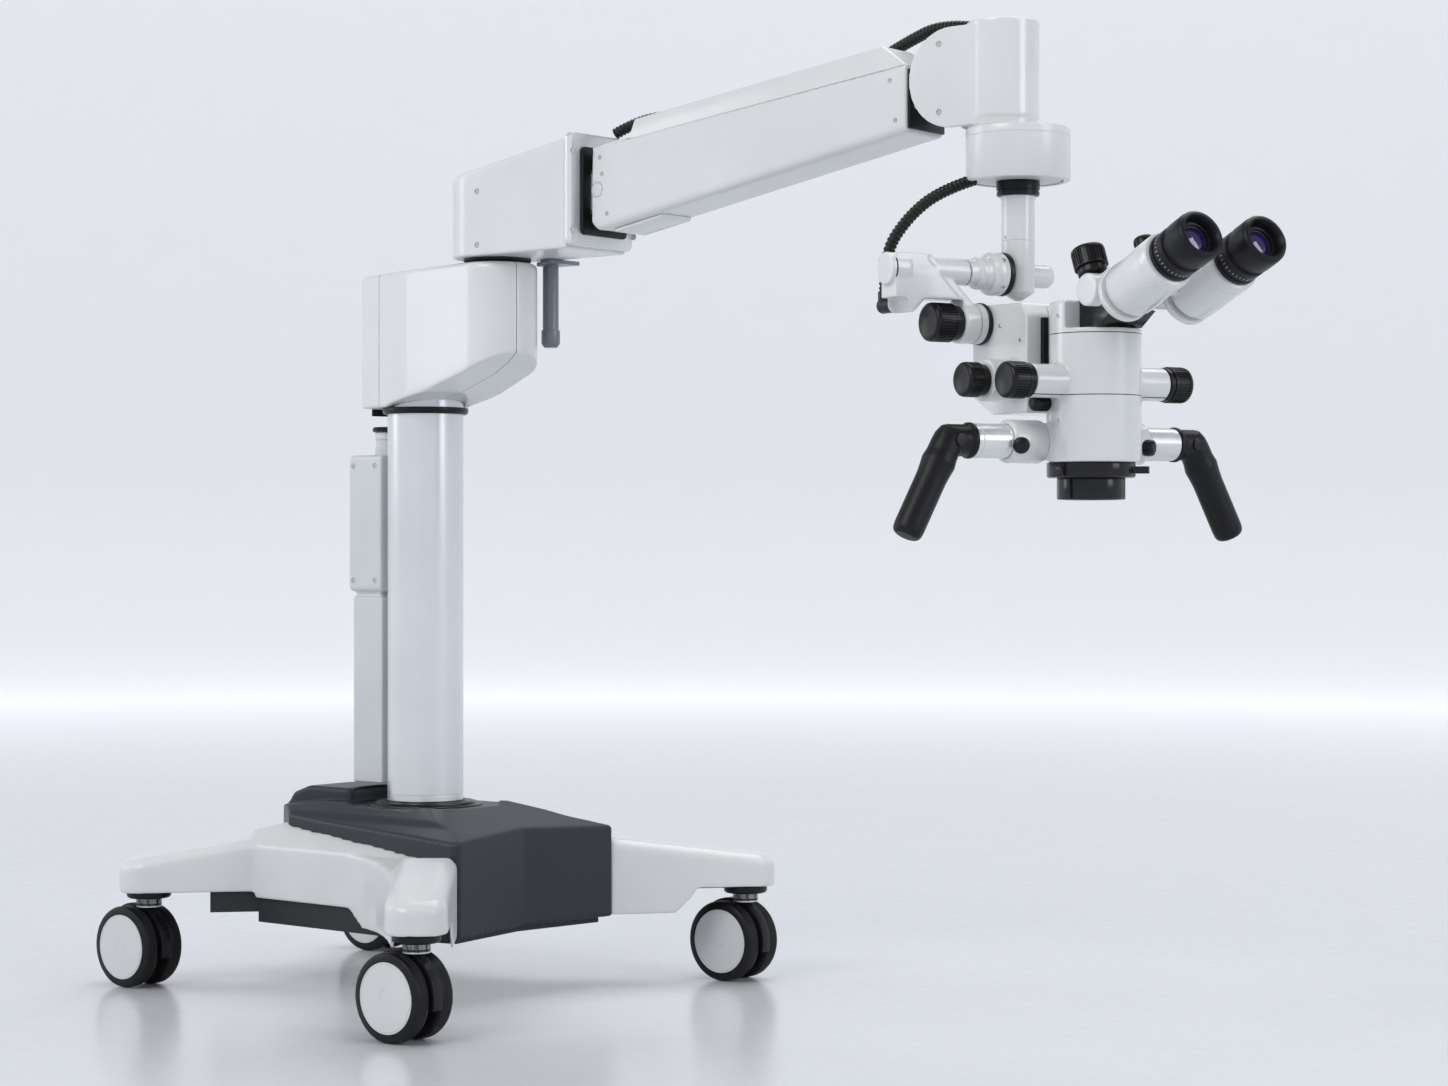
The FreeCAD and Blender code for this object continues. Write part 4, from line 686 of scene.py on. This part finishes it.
class MICROSCOPE_OT_arms(bpy.types.Operator):
    """Lower arm, swing housing, lifting arm and knuckle"""

    bl_idname = "microscope.arms"
    bl_label = "Arms"

    def execute(self, context):
        white, alloy, black = FINISH["white_cover"], FINISH["white_alloy"], FINISH["black_trim"]
        worn_by(moulded("lower_arm_housing", 0.0022, 8), FINISH["lower_arm"], "lower_arm",
                "lower_arm_housing")
        worn_by(dressed("lower_arm_trim", 0.0012), black, "lower_arm", "lower_arm_trim")
        # The pin inside the lower arm is cut off: the smoothed skins of pin and bore would touch.
        underside = ((0, 0, 1.1064), (0, 0, -1))
        worn_by(moulded("swing_housing", 0.002, 6, underside), white, "swing_unit", "swing_housing")
        worn_by(dressed("swing_pivot_ring", 0.0008), FINISH["black_metal"], "swing_unit",
                "swing_pivot_ring")
        worn_by(dressed("swing_front_frame", 0.0012), FINISH["light_alloy"], "swing_unit",
                "swing_front_frame")
        worn_by(dressed("swing_gasket", 0.0015), FINISH["black_rubber"], "swing_unit", "swing_gasket")
        worn_by(dressed("drop_tube", 0.001), FINISH["drop_grey"], "swing_unit", "drop_tube")
        strip = block("lower_arm_strip", (0.0045, 0.092, 0.186), (-0.0925, 0, 0.988))
        worn_by(soften(settle(strip, LOWER_FRAME), 0.0014), black, "lower_arm")
        worn_by(moulded("lift_arm_shell", 0.0018, 5), alloy, "lift_arm", "lift_arm_shell")
        ridge = dressed("lift_arm_top_cover", 0)
        bpy.ops.object.mode_set(mode="EDIT")
        bpy.ops.mesh.select_all(action="SELECT")
        bpy.ops.mesh.bisect(plane_co=ARM_FRAME @ Vector((0.062, 0, 0.06)),
                            plane_no=ARM_FRAME.to_3x3() @ Vector((-1, 0, 0.35)), use_fill=True,
                            clear_outer=True)
        bpy.ops.object.mode_set(mode="OBJECT")
        worn_by(soften(ridge, 0.003), white, "lift_arm", "lift_arm_top_cover")
        lid = block("arm_rear_lid", (0.064, 0.088, 0.004), (0.034, 0, 0.0585))
        worn_by(soften(settle(lid, ARM_FRAME), 0.001), white, "lift_arm")
        gasket = block("arm_end_gasket", (0.004, 0.082, 0.078), (0, 0, 0))
        place = Matrix.Translation((0.5425, 0, -0.0095)) @ Matrix.Rotation(math.radians(9.1), 4, "Y")
        worn_by(soften(settle(gasket, ARM_FRAME @ place), 0.0015), FINISH["black_rubber"], "lift_arm")
        worn_by(dressed("lift_arm_under_plate", 0.0015), FINISH["light_alloy"], "lift_arm",
                "lift_arm_under_plate")
        worn_by(moulded("knuckle_block", 0.0016, 6), alloy, "knuckle", "knuckle_block")
        cap = smooth_turned("knuckle_lid", [
            (19, 1357.6), (19, 1361), (18.2, 1362.4), (16, 1363), (8, 1363.2)])
        settle(cap, Matrix.Translation((1.097, PIVOT.y, 0)))
        worn_by(cap, white, "knuckle", "knuckle_cap")
        screws("swing_screws", "swing_unit", SWING_FRAME, [
            ((20, -66, 1200), (0, -1, 0)), ((20, -66, 1122), (0, -1, 0)),
            ((20, 66, 1200), (0, 1, 0)), ((20, 66, 1122), (0, 1, 0))])
        screws("frame_screws", "swing_unit", SWING_FRAME, [
            ((208, side * 67, z), (0, side, 0)) for side in (-1, 1) for z in (1132, 1244)], 0.0048)
        screws("arm_screws", "lift_arm", ARM_FRAME, [
            ((x, side * 45, z), (0, side, 0)) for side in (-1, 1)
            for x, z in ((14, 44), (14, 20), (14, -38), (520, -34), (520, 20))], 0.003)
        screws("cheek_screws", "knuckle", KNUCKLE_FRAME, [
            ((x, side * 45, z), (0, side, 0)) for side in (-1, 1) for x, z in ((-18, 44), (-18, -44))])
        return {"FINISHED"}


class MICROSCOPE_OT_suspension(bpy.types.Operator):
    """Disc, collar and post, with the clamp that carries the bracket"""

    bl_idname = "microscope.suspension"
    bl_label = "Suspension"

    def execute(self, context):
        white, alloy, black = FINISH["white_cover"], FINISH["white_alloy"], FINISH["black_trim"]
        disc = smooth_turned("suspension_body", [
            (58.4, 1160), (58.5, 1150.6), (59, 1150.2), (64, 1150.2), (66.4, 1151),
            (67.5, 1153.4), (67.5, 1206), (66.9, 1206.6), (66.9, 1207.6), (67.5, 1208.2),
            (67.5, 1214.5), (66.6, 1217.2), (64, 1218.6), (50, 1218.7)], around=128)
        worn_by(settle(disc, HEAD_FRAME), white, "suspension", "suspension_disc")
        plate = smooth_turned("disc_plate", [
            (53, 1151), (55.6, 1151.4), (56.6, 1152.6), (56.6, 1161)], around=96)
        worn_by(settle(plate, HEAD_FRAME), FINISH["grey_case"], "suspension")
        collar = smooth_turned("suspension_ring", [
            (22, 1131.2), (26.5, 1131.8), (27.6, 1133), (27.6, 1137), (26.6, 1137.6), (26.6, 1139),
            (28, 1139.8), (28, 1150.6)], around=96)
        worn_by(settle(collar, HEAD_FRAME), black, "suspension", "suspension_collar")
        post = smooth_turned("suspension_pole", [
            (5, 997), (20.6, 1006.8), (21.6, 1008.6), (21.6, 1072), (21.1, 1072.6), (21.1, 1073.6),
            (21.6, 1074.2), (21.6, 1127), (22.4, 1127.4), (22.4, 1131.6)], around=96)
        worn_by(settle(post, HEAD_FRAME), alloy, "suspension", "suspension_post")
        screws("post_screws", "suspension", HEAD_FRAME, [
            ((2, -21.6, z), (0.09, -1, 0)) for z in (1018, 1042, 1078)], 0.0017)
        side = HEAD_FRAME @ Matrix.Translation((0, 0, 1.030)) @ along_axis((0, -1, 0))
        washer = smooth_turned("clamp_washer", [
            (16, 16), (26.6, 22), (28, 23), (28, 28.6), (27, 29.6), (25, 30)], around=96)
        worn_by(settle(washer, side), black, "suspension")
        clamp = smooth_turned("shaft_clamp", [
            (25, 29.8), (27.2, 30.4), (28, 32), (28, 44), (27, 46.6), (24, 48.2), (22, 49.4), (21, 52),
            (21, 59), (20.4, 59.6), (20.4, 60.8), (21, 61.4), (21, 66), (20, 68), (17.4, 69.4),
            (16.8, 72), (16.8, 82)], around=96)
        worn_by(settle(clamp, side), alloy, "suspension")
        back = smooth_turned("clamp_tail", [
            (15, -8), (15, -42), (14.2, -46), (12, -49), (8, -50)], around=64)
        worn_by(settle(back, side), alloy, "suspension")
        screws("clamp_screws", "suspension", side, [
            ((28 * math.cos(a), 28 * math.sin(a), 38), (math.cos(a), math.sin(a), 0))
            for a in (0.6, 2.4, 4.2, 5.6)], 0.0028)
        return {"FINISHED"}


class MICROSCOPE_OT_head(bpy.types.Operator):
    """Bracket, carrier and microscope body with their knobs and optics"""

    bl_idname = "microscope.head"
    bl_label = "Head"

    def execute(self, context):
        alloy, black, knobs = FINISH["white_alloy"], FINISH["black_trim"], FINISH["black_knob"]

        def out_at(x, z, side=-1):
            return (HEAD_FRAME @ Matrix.Translation((x / 1000, 0, z / 1000))
                    @ along_axis((0, side, 0)))

        casting = dressed("head_bracket", 0)
        casting.data.transform(HEAD_FRAME.inverted())
        trimmed(casting, [((-16, 0, 0), (-1, 0, 0))])
        web = trimmed(block("bracket_web", (0.0344, 0.108, 0.056), (0, -0.144, 1.0215)), [
            ((0, -154.6, 1047.3), (0, 29.6, 40.3)), ((0, -114, 1018), (0, 36.2, 43))])
        toe = trimmed(block("bracket_toe", (0.0344, 0.049, 0.070), (0, -0.1735, 1.0135)), [
            ((0, -198, 1010), (0, -32.5, -26)), ((0, -172, 978), (0, 24, -26))])
        boss = settle(smooth_turned("tilt_boss", [
            (24.6, 72.4), (26, 73.4), (26, 94.6), (24.8, 96)], 96),
            Matrix.Translation((0, 0, 0.965)) @ along_axis((0, -1, 0)))
        casting = blended(joined("bracket_casting", [casting, web, toe, boss]), 0.0014, 5)
        worn_by(settle(casting, HEAD_FRAME), alloy, "bracket", "head_bracket")
        stub = settle(smooth_turned("hose_nut", [(8, 0), (10, 1), (10, 28), (8, 30)], 48),
                      Matrix.Translation((-0.0165, -0.178, 0.9865)) @ along_axis((-1, 0, 0)))
        sleeve = settle(smooth_turned("hose_sleeve", [
            (8, 984), (9.4, 985), (9.4, 1004), (8.4, 1005)], 48),
            Matrix.Translation((-0.037, -0.179, 0)))
        fitting = blended(joined("hose_fitting", [stub, sleeve]), 0.001, 3)
        worn_by(settle(fitting, HEAD_FRAME), FINISH["black_rubber"], "bracket")
        ring = smooth_turned("bracket_cap_seam", [
            (20, 196), (20.9, 196.4), (20.9, 198), (20, 198.4)])
        worn_by(settle(ring, out_at(0, 1030)), black, "bracket")
        ring = smooth_turned("tilt_ring", [(20, 56.4), (26.4, 57), (27, 58), (27, 62), (26, 62.8)], 96)
        worn_by(settle(ring, out_at(0, 965)), black, "carrier")
        seat = smooth_turned("tilt_seat", [(24, 62.9), (26, 63.3), (26, 71.6), (24, 72.2)], 96)
        worn_by(settle(seat, out_at(0, 965)), alloy, "carrier")
        worn_by(moulded("head_carrier", 0.0015, 8), alloy, "carrier", "head_carrier")

        for name, body, node, radius, x, z, near, far, flutes in (
                ("tilt", "tilt_lock", "tilt_knob", 0.025, 0, 965, 98, 139, 44),
                ("focus", "focus_drive", "focus_knob", 0.022, 70, 889, 103.4, 135.3, 40)):
            hub = smooth_turned(name + "_index_ring", [
                (radius * 1000 - 4, near - 3 if name == "tilt" else near),
                (radius * 1000 - 2.4, near + 0.6), (radius * 1000 - 2.4, near + 7),
                (radius * 1000 - 4, near + 8.6)], 96)
            worn_by(settle(hub, out_at(x, z)), black, body)
            grip = fluted(name + "_grip", radius, (far - near - 8) / 1000, flutes)
            settle(grip, out_at(x, z) @ Matrix.Translation((0, 0, (near + 8) / 1000)))
            worn_by(grip, knobs, body, node)
        small = fluted("carrier_lock_grip", 0.010, 0.024, 18, depth=0.0007)
        settle(small, out_at(140, 858) @ Matrix.Translation((0, 0, 0.055)))
        worn_by(small, knobs, "carrier_lock", "lock_knob_rear")

        worn_by(moulded("microscope_body", 0.0016, 5), FINISH["scope_body"], "microscope",
                "microscope_body")
        for side_name, side in (("right", -1), ("left", 1)):
            ring = smooth_turned(f"zoom_index_{side_name}", [
                (19, 102.3), (21.4, 102.8), (21.4, 109), (20, 110)], 96)
            worn_by(settle(ring, out_at(165, 884, side)), black, "zoom_drive")
            grip = fluted(f"zoom_grip_{side_name}", 0.0228, 0.029, 40)
            settle(grip, out_at(165, 884, side) @ Matrix.Translation((0, 0, 0.109)))
            worn_by(grip, knobs, "zoom_drive", "zoom_knobs")
        worn_by(dressed("objective_mount", 0.0012), FINISH["black_gloss"], "microscope",
                "objective_mount")
        worn_by(dressed("objective_housing", 0.0008), FINISH["black_gloss"], "microscope",
                "objective_housing")
        glass = smooth_turned("objective_glass", [
            (32.9, 759), (32.9, 752.2), (28, 751), (18, 750.3), (6, 750)], 96)
        settle(glass, HEAD_FRAME @ Matrix.Translation((0.156, 0, 0)))
        worn_by(glass, FINISH["lens_glass"], "microscope", "objective_lens")
        screws("body_screws", "microscope", HEAD_FRAME, [
            ((165, side * 57, z), (0, side, 0)) for side in (-1, 1) for z in (835, 965)], 0.0026)
        # A black block in the gap between carrier and body: painted shade, standing for the shadow
        # inside the gap.
        slot = block("carrier_gap_shade", (0.008, 0.008, 0.064), (0.1005, -0.031, 0.936))
        soften(settle(slot, HEAD_FRAME), 0.001)
        worn_by(slot, black, "carrier")
        screws("carrier_screws", "carrier", HEAD_FRAME, [
            ((x, -56, z), (0, -1, 0)) for x, z in ((40, 960), (84, 940), (24, 870))], 0.0026)
        return {"FINISHED"}


class MICROSCOPE_OT_handles(bpy.types.Operator):
    """Side handles with clamps, bright tubes, grips and buttons"""

    bl_idname = "microscope.handles"
    bl_label = "Handles"

    def execute(self, context):
        for side_name, side in (("right", -1), ("left", 1)):
            node = f"handle_clamp_{side_name}"
            worn_by(dressed(node, 0.0012), FINISH["white_alloy"], "microscope", node)
            body = f"handle_{side_name}"
            out = (HEAD_FRAME @ Matrix.Translation((0.119, 0, 0.811))
                   @ along_axis((0, side, 0)))
            tube = smooth_turned(f"handle_bright_{side_name}", [
                (21.4, 75.4), (21.4, 107), (20.9, 107.5), (20.9, 108.5), (21.4, 109), (21.4, 148),
                (20.6, 149), (20.6, 155)], 96)
            worn_by(settle(tube, out), FINISH["light_alloy"], body, f"handle_tube_{side_name}")
            sleeve = smooth_turned(f"elbow_{side_name}", [
                (21.6, 155.2), (22.5, 156), (22.5, 161), (21.2, 162), (19.8, 164), (19.8, 183),
                (18.2, 193), (13, 200), (6, 203)], 64)
            settle(sleeve, out)
            down = Vector((0, side * 0.063, -0.118)).normalized()
            grip = smooth_turned(f"grip_{side_name}", [
                (9, -18), (15.5, -13), (19, -3), (19.8, 8), (19.8, 20), (21.6, 31), (20.2, 42),
                (19.3, 54), (19.3, 120), (18.6, 127), (16.6, 131), (13, 133)], 64)
            settle(grip, HEAD_FRAME @ Matrix.Translation((0.119, side * 0.188, 0.811))
                   @ along_axis(down))
            grip = blended(joined(f"grip_{side_name}", [sleeve, grip]), 0.0012, 5)
            worn_by(grip, FINISH["black_grip"], body, f"handle_grip_{side_name}")
            lock = fluted(f"clamp_lock_{side_name}", 0.0105, 0.015, 18, depth=0.0006)
            settle(lock, HEAD_FRAME @ Matrix.Translation((0.140, side * 0.094, 0.806))
                   @ along_axis((0.8, side * 0.6, -0.1)))
            worn_by(lock, FINISH["black_knob"], "microscope")
            node = f"handle_button_{side_name}"
            worn_by(dressed(node, 0.0004), FINISH["black_knob"], f"button_{side_name}", node)
        return {"FINISHED"}


class MICROSCOPE_OT_binocular(bpy.types.Operator):
    """Prism housing, barrels and eyepieces"""

    bl_idname = "microscope.binocular"
    bl_label = "Binocular"

    def execute(self, context):
        alloy, black, knobs = FINISH["white_alloy"], FINISH["black_trim"], FINISH["black_knob"]
        worn_by(dressed("binocular_mount", 0.0025), FINISH["black_gloss"], "microscope",
                "binocular_mount")
        parts = []
        for side_name, side in (("right", -1), ("left", 1)):
            drum = smooth_turned(f"prism_drum_{side_name}", [
                (20, 20.4), (20, 73), (19.2, 74.6), (17, 75)], 96)
            parts.append(settle(drum, TUBE_FRAME @ along_axis((0, side, 0))))
            seat = smooth_turned(f"barrel_seat_{side_name}", [
                (22, 20), (29, 22), (33, 26), (34, 30), (34, 34.6)], 96)
            parts.append(settle(seat, TUBE_FRAME @ Matrix.Translation((0, side * 0.0475, -0.022))
                                @ along_axis((1, 0, 0))))
            lug = block(f"prism_lug_{side_name}", (0.034, 0.038, 0.032), (0.017, side * 0.0398, -0.001))
            parts.append(settle(lug, TUBE_FRAME))
        bridge = block("prism_bridge", (0.012, 0.095, 0.034), (0.028, 0, -0.006))
        parts.append(settle(bridge, TUBE_FRAME))
        turret = smooth_turned("prism_turret", [(22, 6), (22, 30), (20, 36), (16, 39.6)], 64)
        parts.append(settle(turret, TUBE_FRAME @ Matrix.Translation((0.036, 0, 0))))
        worn_by(blended(joined("prism_housing", parts), 0.0013, 4), alloy, "binocular",
                "binocular_hinge")
        for side_name, side in (("right", -1), ("left", 1)):
            ring = smooth_turned(f"prism_ring_{side_name}", [
                (19, 54), (20.6, 54.4), (20.6, 57.6), (19, 58)], 96)
            worn_by(settle(ring, TUBE_FRAME @ along_axis((0, side, 0))), black, "binocular")
        knob = fluted("prism_grip", 0.021, 0.027, 34)
        settle(knob, TUBE_FRAME @ Matrix.Translation((0, -0.058, 0.029)))
        worn_by(knob, knobs, "binocular_lock", "binocular_knob")
        hub = smooth_turned("prism_grip_hub", [(15, 20.5), (18, 22), (18, 28), (16, 29.5)], 64)
        settle(hub, TUBE_FRAME @ Matrix.Translation((0, -0.058, 0)))
        worn_by(hub, knobs, "binocular_lock")
        top = fluted("prism_top_grip", 0.013, 0.014, 22, depth=0.0007)
        settle(top, TUBE_FRAME @ Matrix.Translation((0.037, 0, 0.041)))
        worn_by(top, knobs, "prism_lock", "binocular_top_knob")
        for side_name, side in (("right", -1), ("left", 1)):
            place = (TUBE_FRAME @ Matrix.Translation((0, side * 0.0475, -0.022))
                     @ along_axis((1, 0, 0)))
            start = 36 if side < 0 else 49
            barrel = smooth_turned(f"barrel_{side_name}", [
                (18, 36), (26, 37.2), (31, 40), (34, 45), (35, 51), (35, 112), (34.4, 112.6),
                (34.4, 113.6), (35, 114.2), (35, 124.5), (34.2, 127), (32, 128)], 96)
            settle(barrel, place)
            link = block(f"barrel_link_{side_name}", (0.012, 0.0475, 0.016),
                         ((start + 6) / 1000, side * 0.02375, -0.022))
            soften(settle(link, TUBE_FRAME), 0.0015)
            both = joined(f"barrel_{side_name}", [barrel, link])
            worn_by(both, alloy, f"tube_{side_name}", f"eyepiece_tube_{side_name}")
            cup = smooth_turned(f"eyecup_{side_name}", [
                (28, 128.3), (30.4, 128.8), (31, 130), (31, 134), (29.4, 134.8), (29.4, 137),
                (30.4, 137.6), (30.6, 152), (29.8, 152.8), (28, 153.6), (28, 158), (29.6, 159),
                (31, 162), (31, 183), (30.4, 188), (28.8, 190.8), (26.6, 192), (24.6, 191.6),
                (23, 189), (21, 183), (20.4, 179), (18, 178.4), (17.6, 176), (15.6, 175.4)], 96)
            worn_by(settle(cup, place), FINISH["black_grip"], f"ocular_{side_name}",
                    f"eyepiece_{side_name}")
            pane = smooth_turned(f"eyepiece_glass_{side_name}", [
                (15.5, 172), (15.5, 175.8), (13, 177.2), (9, 178.2), (4, 178.6)], 64)
            worn_by(settle(pane, place), FINISH["ocular_glass"], f"ocular_{side_name}")
            ticks = []
            for index in range(36):
                height = 0.0042 if index % 6 == 0 else 0.0026
                mark = block(f"tick_{side_name}_{index}", (0.0003, 0.0005, height),
                             (0.0305, 0, 0.142))
                ticks.append(settle(mark, place @ Matrix.Rotation(index * math.tau / 36, 4, "Z")))
            scale = joined(f"dioptre_scale_{side_name}", ticks)
            worn_by(scale, FINISH["white_alloy"], f"ocular_{side_name}")
        return {"FINISHED"}


class MICROSCOPE_OT_stage(bpy.types.Operator):
    """Floor, backdrop, studio light and camera"""

    bl_idname = "microscope.stage"
    bl_label = "Studio"

    def execute(self, context):
        deselect()
        bpy.ops.mesh.primitive_circle_add(vertices=128, radius=FLOOR_RADIUS, fill_type="NGON",
                                          location=(0, 0, 0))
        floor = named(context.object, "studio_floor")
        bpy.ops.object.mode_set(mode="EDIT")
        bpy.ops.mesh.select_all(action="SELECT")
        bpy.ops.mesh.inset(thickness=0.001)
        bpy.ops.mesh.select_all(action="SELECT")
        bpy.ops.mesh.region_to_loop()
        radius, low = FLOOR_RADIUS, 0.0
        for step in range(1, 25):
            turn = math.radians(step * 90 / 24)
            next_radius = FLOOR_RADIUS + FOLD_RADIUS * math.sin(turn)
            height = FOLD_RADIUS * (1 - math.cos(turn))
            bpy.ops.mesh.extrude_region_move(
                TRANSFORM_OT_translate={"value": (0, 0, height - low)})
            factor = next_radius / radius
            bpy.ops.transform.resize(value=(factor, factor, 1), center_override=(0, 0, height))
            radius, low = next_radius, height
        bpy.ops.mesh.extrude_region_move(TRANSFORM_OT_translate={"value": (0, 0, 2)})
        bpy.ops.object.mode_set(mode="OBJECT")
        bpy.ops.object.shade_smooth()
        paper = finish("Studio paper", colours().studio[:], 0.22, spread=0.01, texture=40, bump=0.0,
                       specular=0.5)
        tree = paper.node_tree
        # The paper glows more the farther it lies from the stand: painted light that brightens the
        # backdrop, with little glow on the floor round the base.
        glow = next(node for node in tree.nodes if node.type == "BSDF_PRINCIPLED")
        glow.inputs["Emission Color"].default_value = (0.945, 0.96, 0.985, 1)
        place = tree.nodes.new("ShaderNodeTexCoord")
        away = tree.nodes.new("ShaderNodeVectorMath")
        away.operation = "LENGTH"
        tree.links.new(place.outputs["Object"], away.inputs[0])
        rise = tree.nodes.new("ShaderNodeMapRange")
        rise.interpolation_type = "SMOOTHSTEP"
        rise.inputs["From Min"].default_value = 0.4
        rise.inputs["From Max"].default_value = 11
        rise.inputs["To Max"].default_value = 0.43
        tree.links.new(away.outputs["Value"], rise.inputs["Value"])
        tree.links.new(rise.outputs["Result"], glow.inputs["Emission Strength"])
        floor.data.materials.append(paper)

        world = bpy.data.worlds.new("Studio air")
        context.scene.world = world
        world.use_nodes = True
        back = world.node_tree.nodes["Background"]
        back.inputs["Color"].default_value = (0.90, 0.94, 1.0, 1)
        back.inputs["Strength"].default_value = 0.34

        aim = Vector((0.45, 0, 0.8))
        for name, place, wide, tall, power, tint in (
                ("Key", (0.2, -4.6, 4.2), 3.0, 2.4, 120, (1.0, 0.99, 0.97)),
                ("Left", (-4.4, -2.6, 2.6), 1.6, 3.0, 40, (0.95, 0.97, 1.0)),
                ("Right", (5.6, 0.6, 2.8), 1.6, 3.2, 60, (0.96, 0.98, 1.0)),
                ("Top", (0.4, 1.6, 4.8), 3.6, 3.6, 110, (1.0, 1.0, 1.0))):
            lamp = bpy.data.lights.new(name, "AREA")
            lamp.shape = "RECTANGLE"
            lamp.size = wide
            lamp.size_y = tall
            lamp.energy = power
            lamp.color = tint
            holder = bpy.data.objects.new(name + " softbox", lamp)
            context.collection.objects.link(holder)
            holder.location = place
            holder.rotation_euler = (aim - Vector(place)).to_track_quat("-Z", "Y").to_euler()

        lens = bpy.data.cameras.new("Photograph")
        camera = bpy.data.objects.new("Photograph", lens)
        context.collection.objects.link(camera)
        lens.sensor_width = SENSOR
        lens.lens = FOCAL_PIXELS / PHOTO_PIXELS * SENSOR
        lens.shift_y = 2.0 / PHOTO_PIXELS
        camera.location = CAMERA_PLACE
        camera.rotation_euler = (math.radians(90), 0, CAMERA_TURN)
        context.scene.camera = camera
        context.scene.view_settings.view_transform = "Standard"
        return {"FINISHED"}


class VIEW3D_PT_microscope(bpy.types.Panel):
    """Steps and values of the microscope's dressing"""

    bl_label = "Microscope"
    bl_idname = "VIEW3D_PT_microscope"
    bl_space_type = "VIEW_3D"
    bl_region_type = "UI"
    bl_category = "Microscope"

    def draw(self, context):
        for step in STEPS:
            self.layout.operator(step.bl_idname)
        for group in (context.scene.microscope_sizes, context.scene.microscope_colours):
            box = self.layout.box()
            for name in group.__annotations__:
                box.prop(group, name)


STEPS = (
    MICROSCOPE_OT_finishes,
    MICROSCOPE_OT_base,
    MICROSCOPE_OT_castors,
    MICROSCOPE_OT_arms,
    MICROSCOPE_OT_suspension,
    MICROSCOPE_OT_head,
    MICROSCOPE_OT_handles,
    MICROSCOPE_OT_binocular,
    MICROSCOPE_OT_hoses,
    MICROSCOPE_OT_stage,
)
CLASSES = (MicroscopeSizes, MicroscopeColours, *STEPS, VIEW3D_PT_microscope)


def register():
    for item in CLASSES:
        bpy.utils.register_class(item)
    bpy.types.Scene.microscope_sizes = bpy.props.PointerProperty(type=MicroscopeSizes)
    bpy.types.Scene.microscope_colours = bpy.props.PointerProperty(type=MicroscopeColours)


def unregister():
    del bpy.types.Scene.microscope_sizes
    del bpy.types.Scene.microscope_colours
    for item in reversed(CLASSES):
        bpy.utils.unregister_class(item)


def main():
    register()
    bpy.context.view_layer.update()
    bpy.ops.microscope.finishes()
    bpy.ops.microscope.base()
    bpy.ops.microscope.castors()
    bpy.ops.microscope.arms()
    bpy.ops.microscope.suspension()
    bpy.ops.microscope.head()
    bpy.ops.microscope.handles()
    bpy.ops.microscope.binocular()
    bpy.ops.microscope.hoses()
    bpy.ops.microscope.stage()


if __name__ == "__main__":
    main()
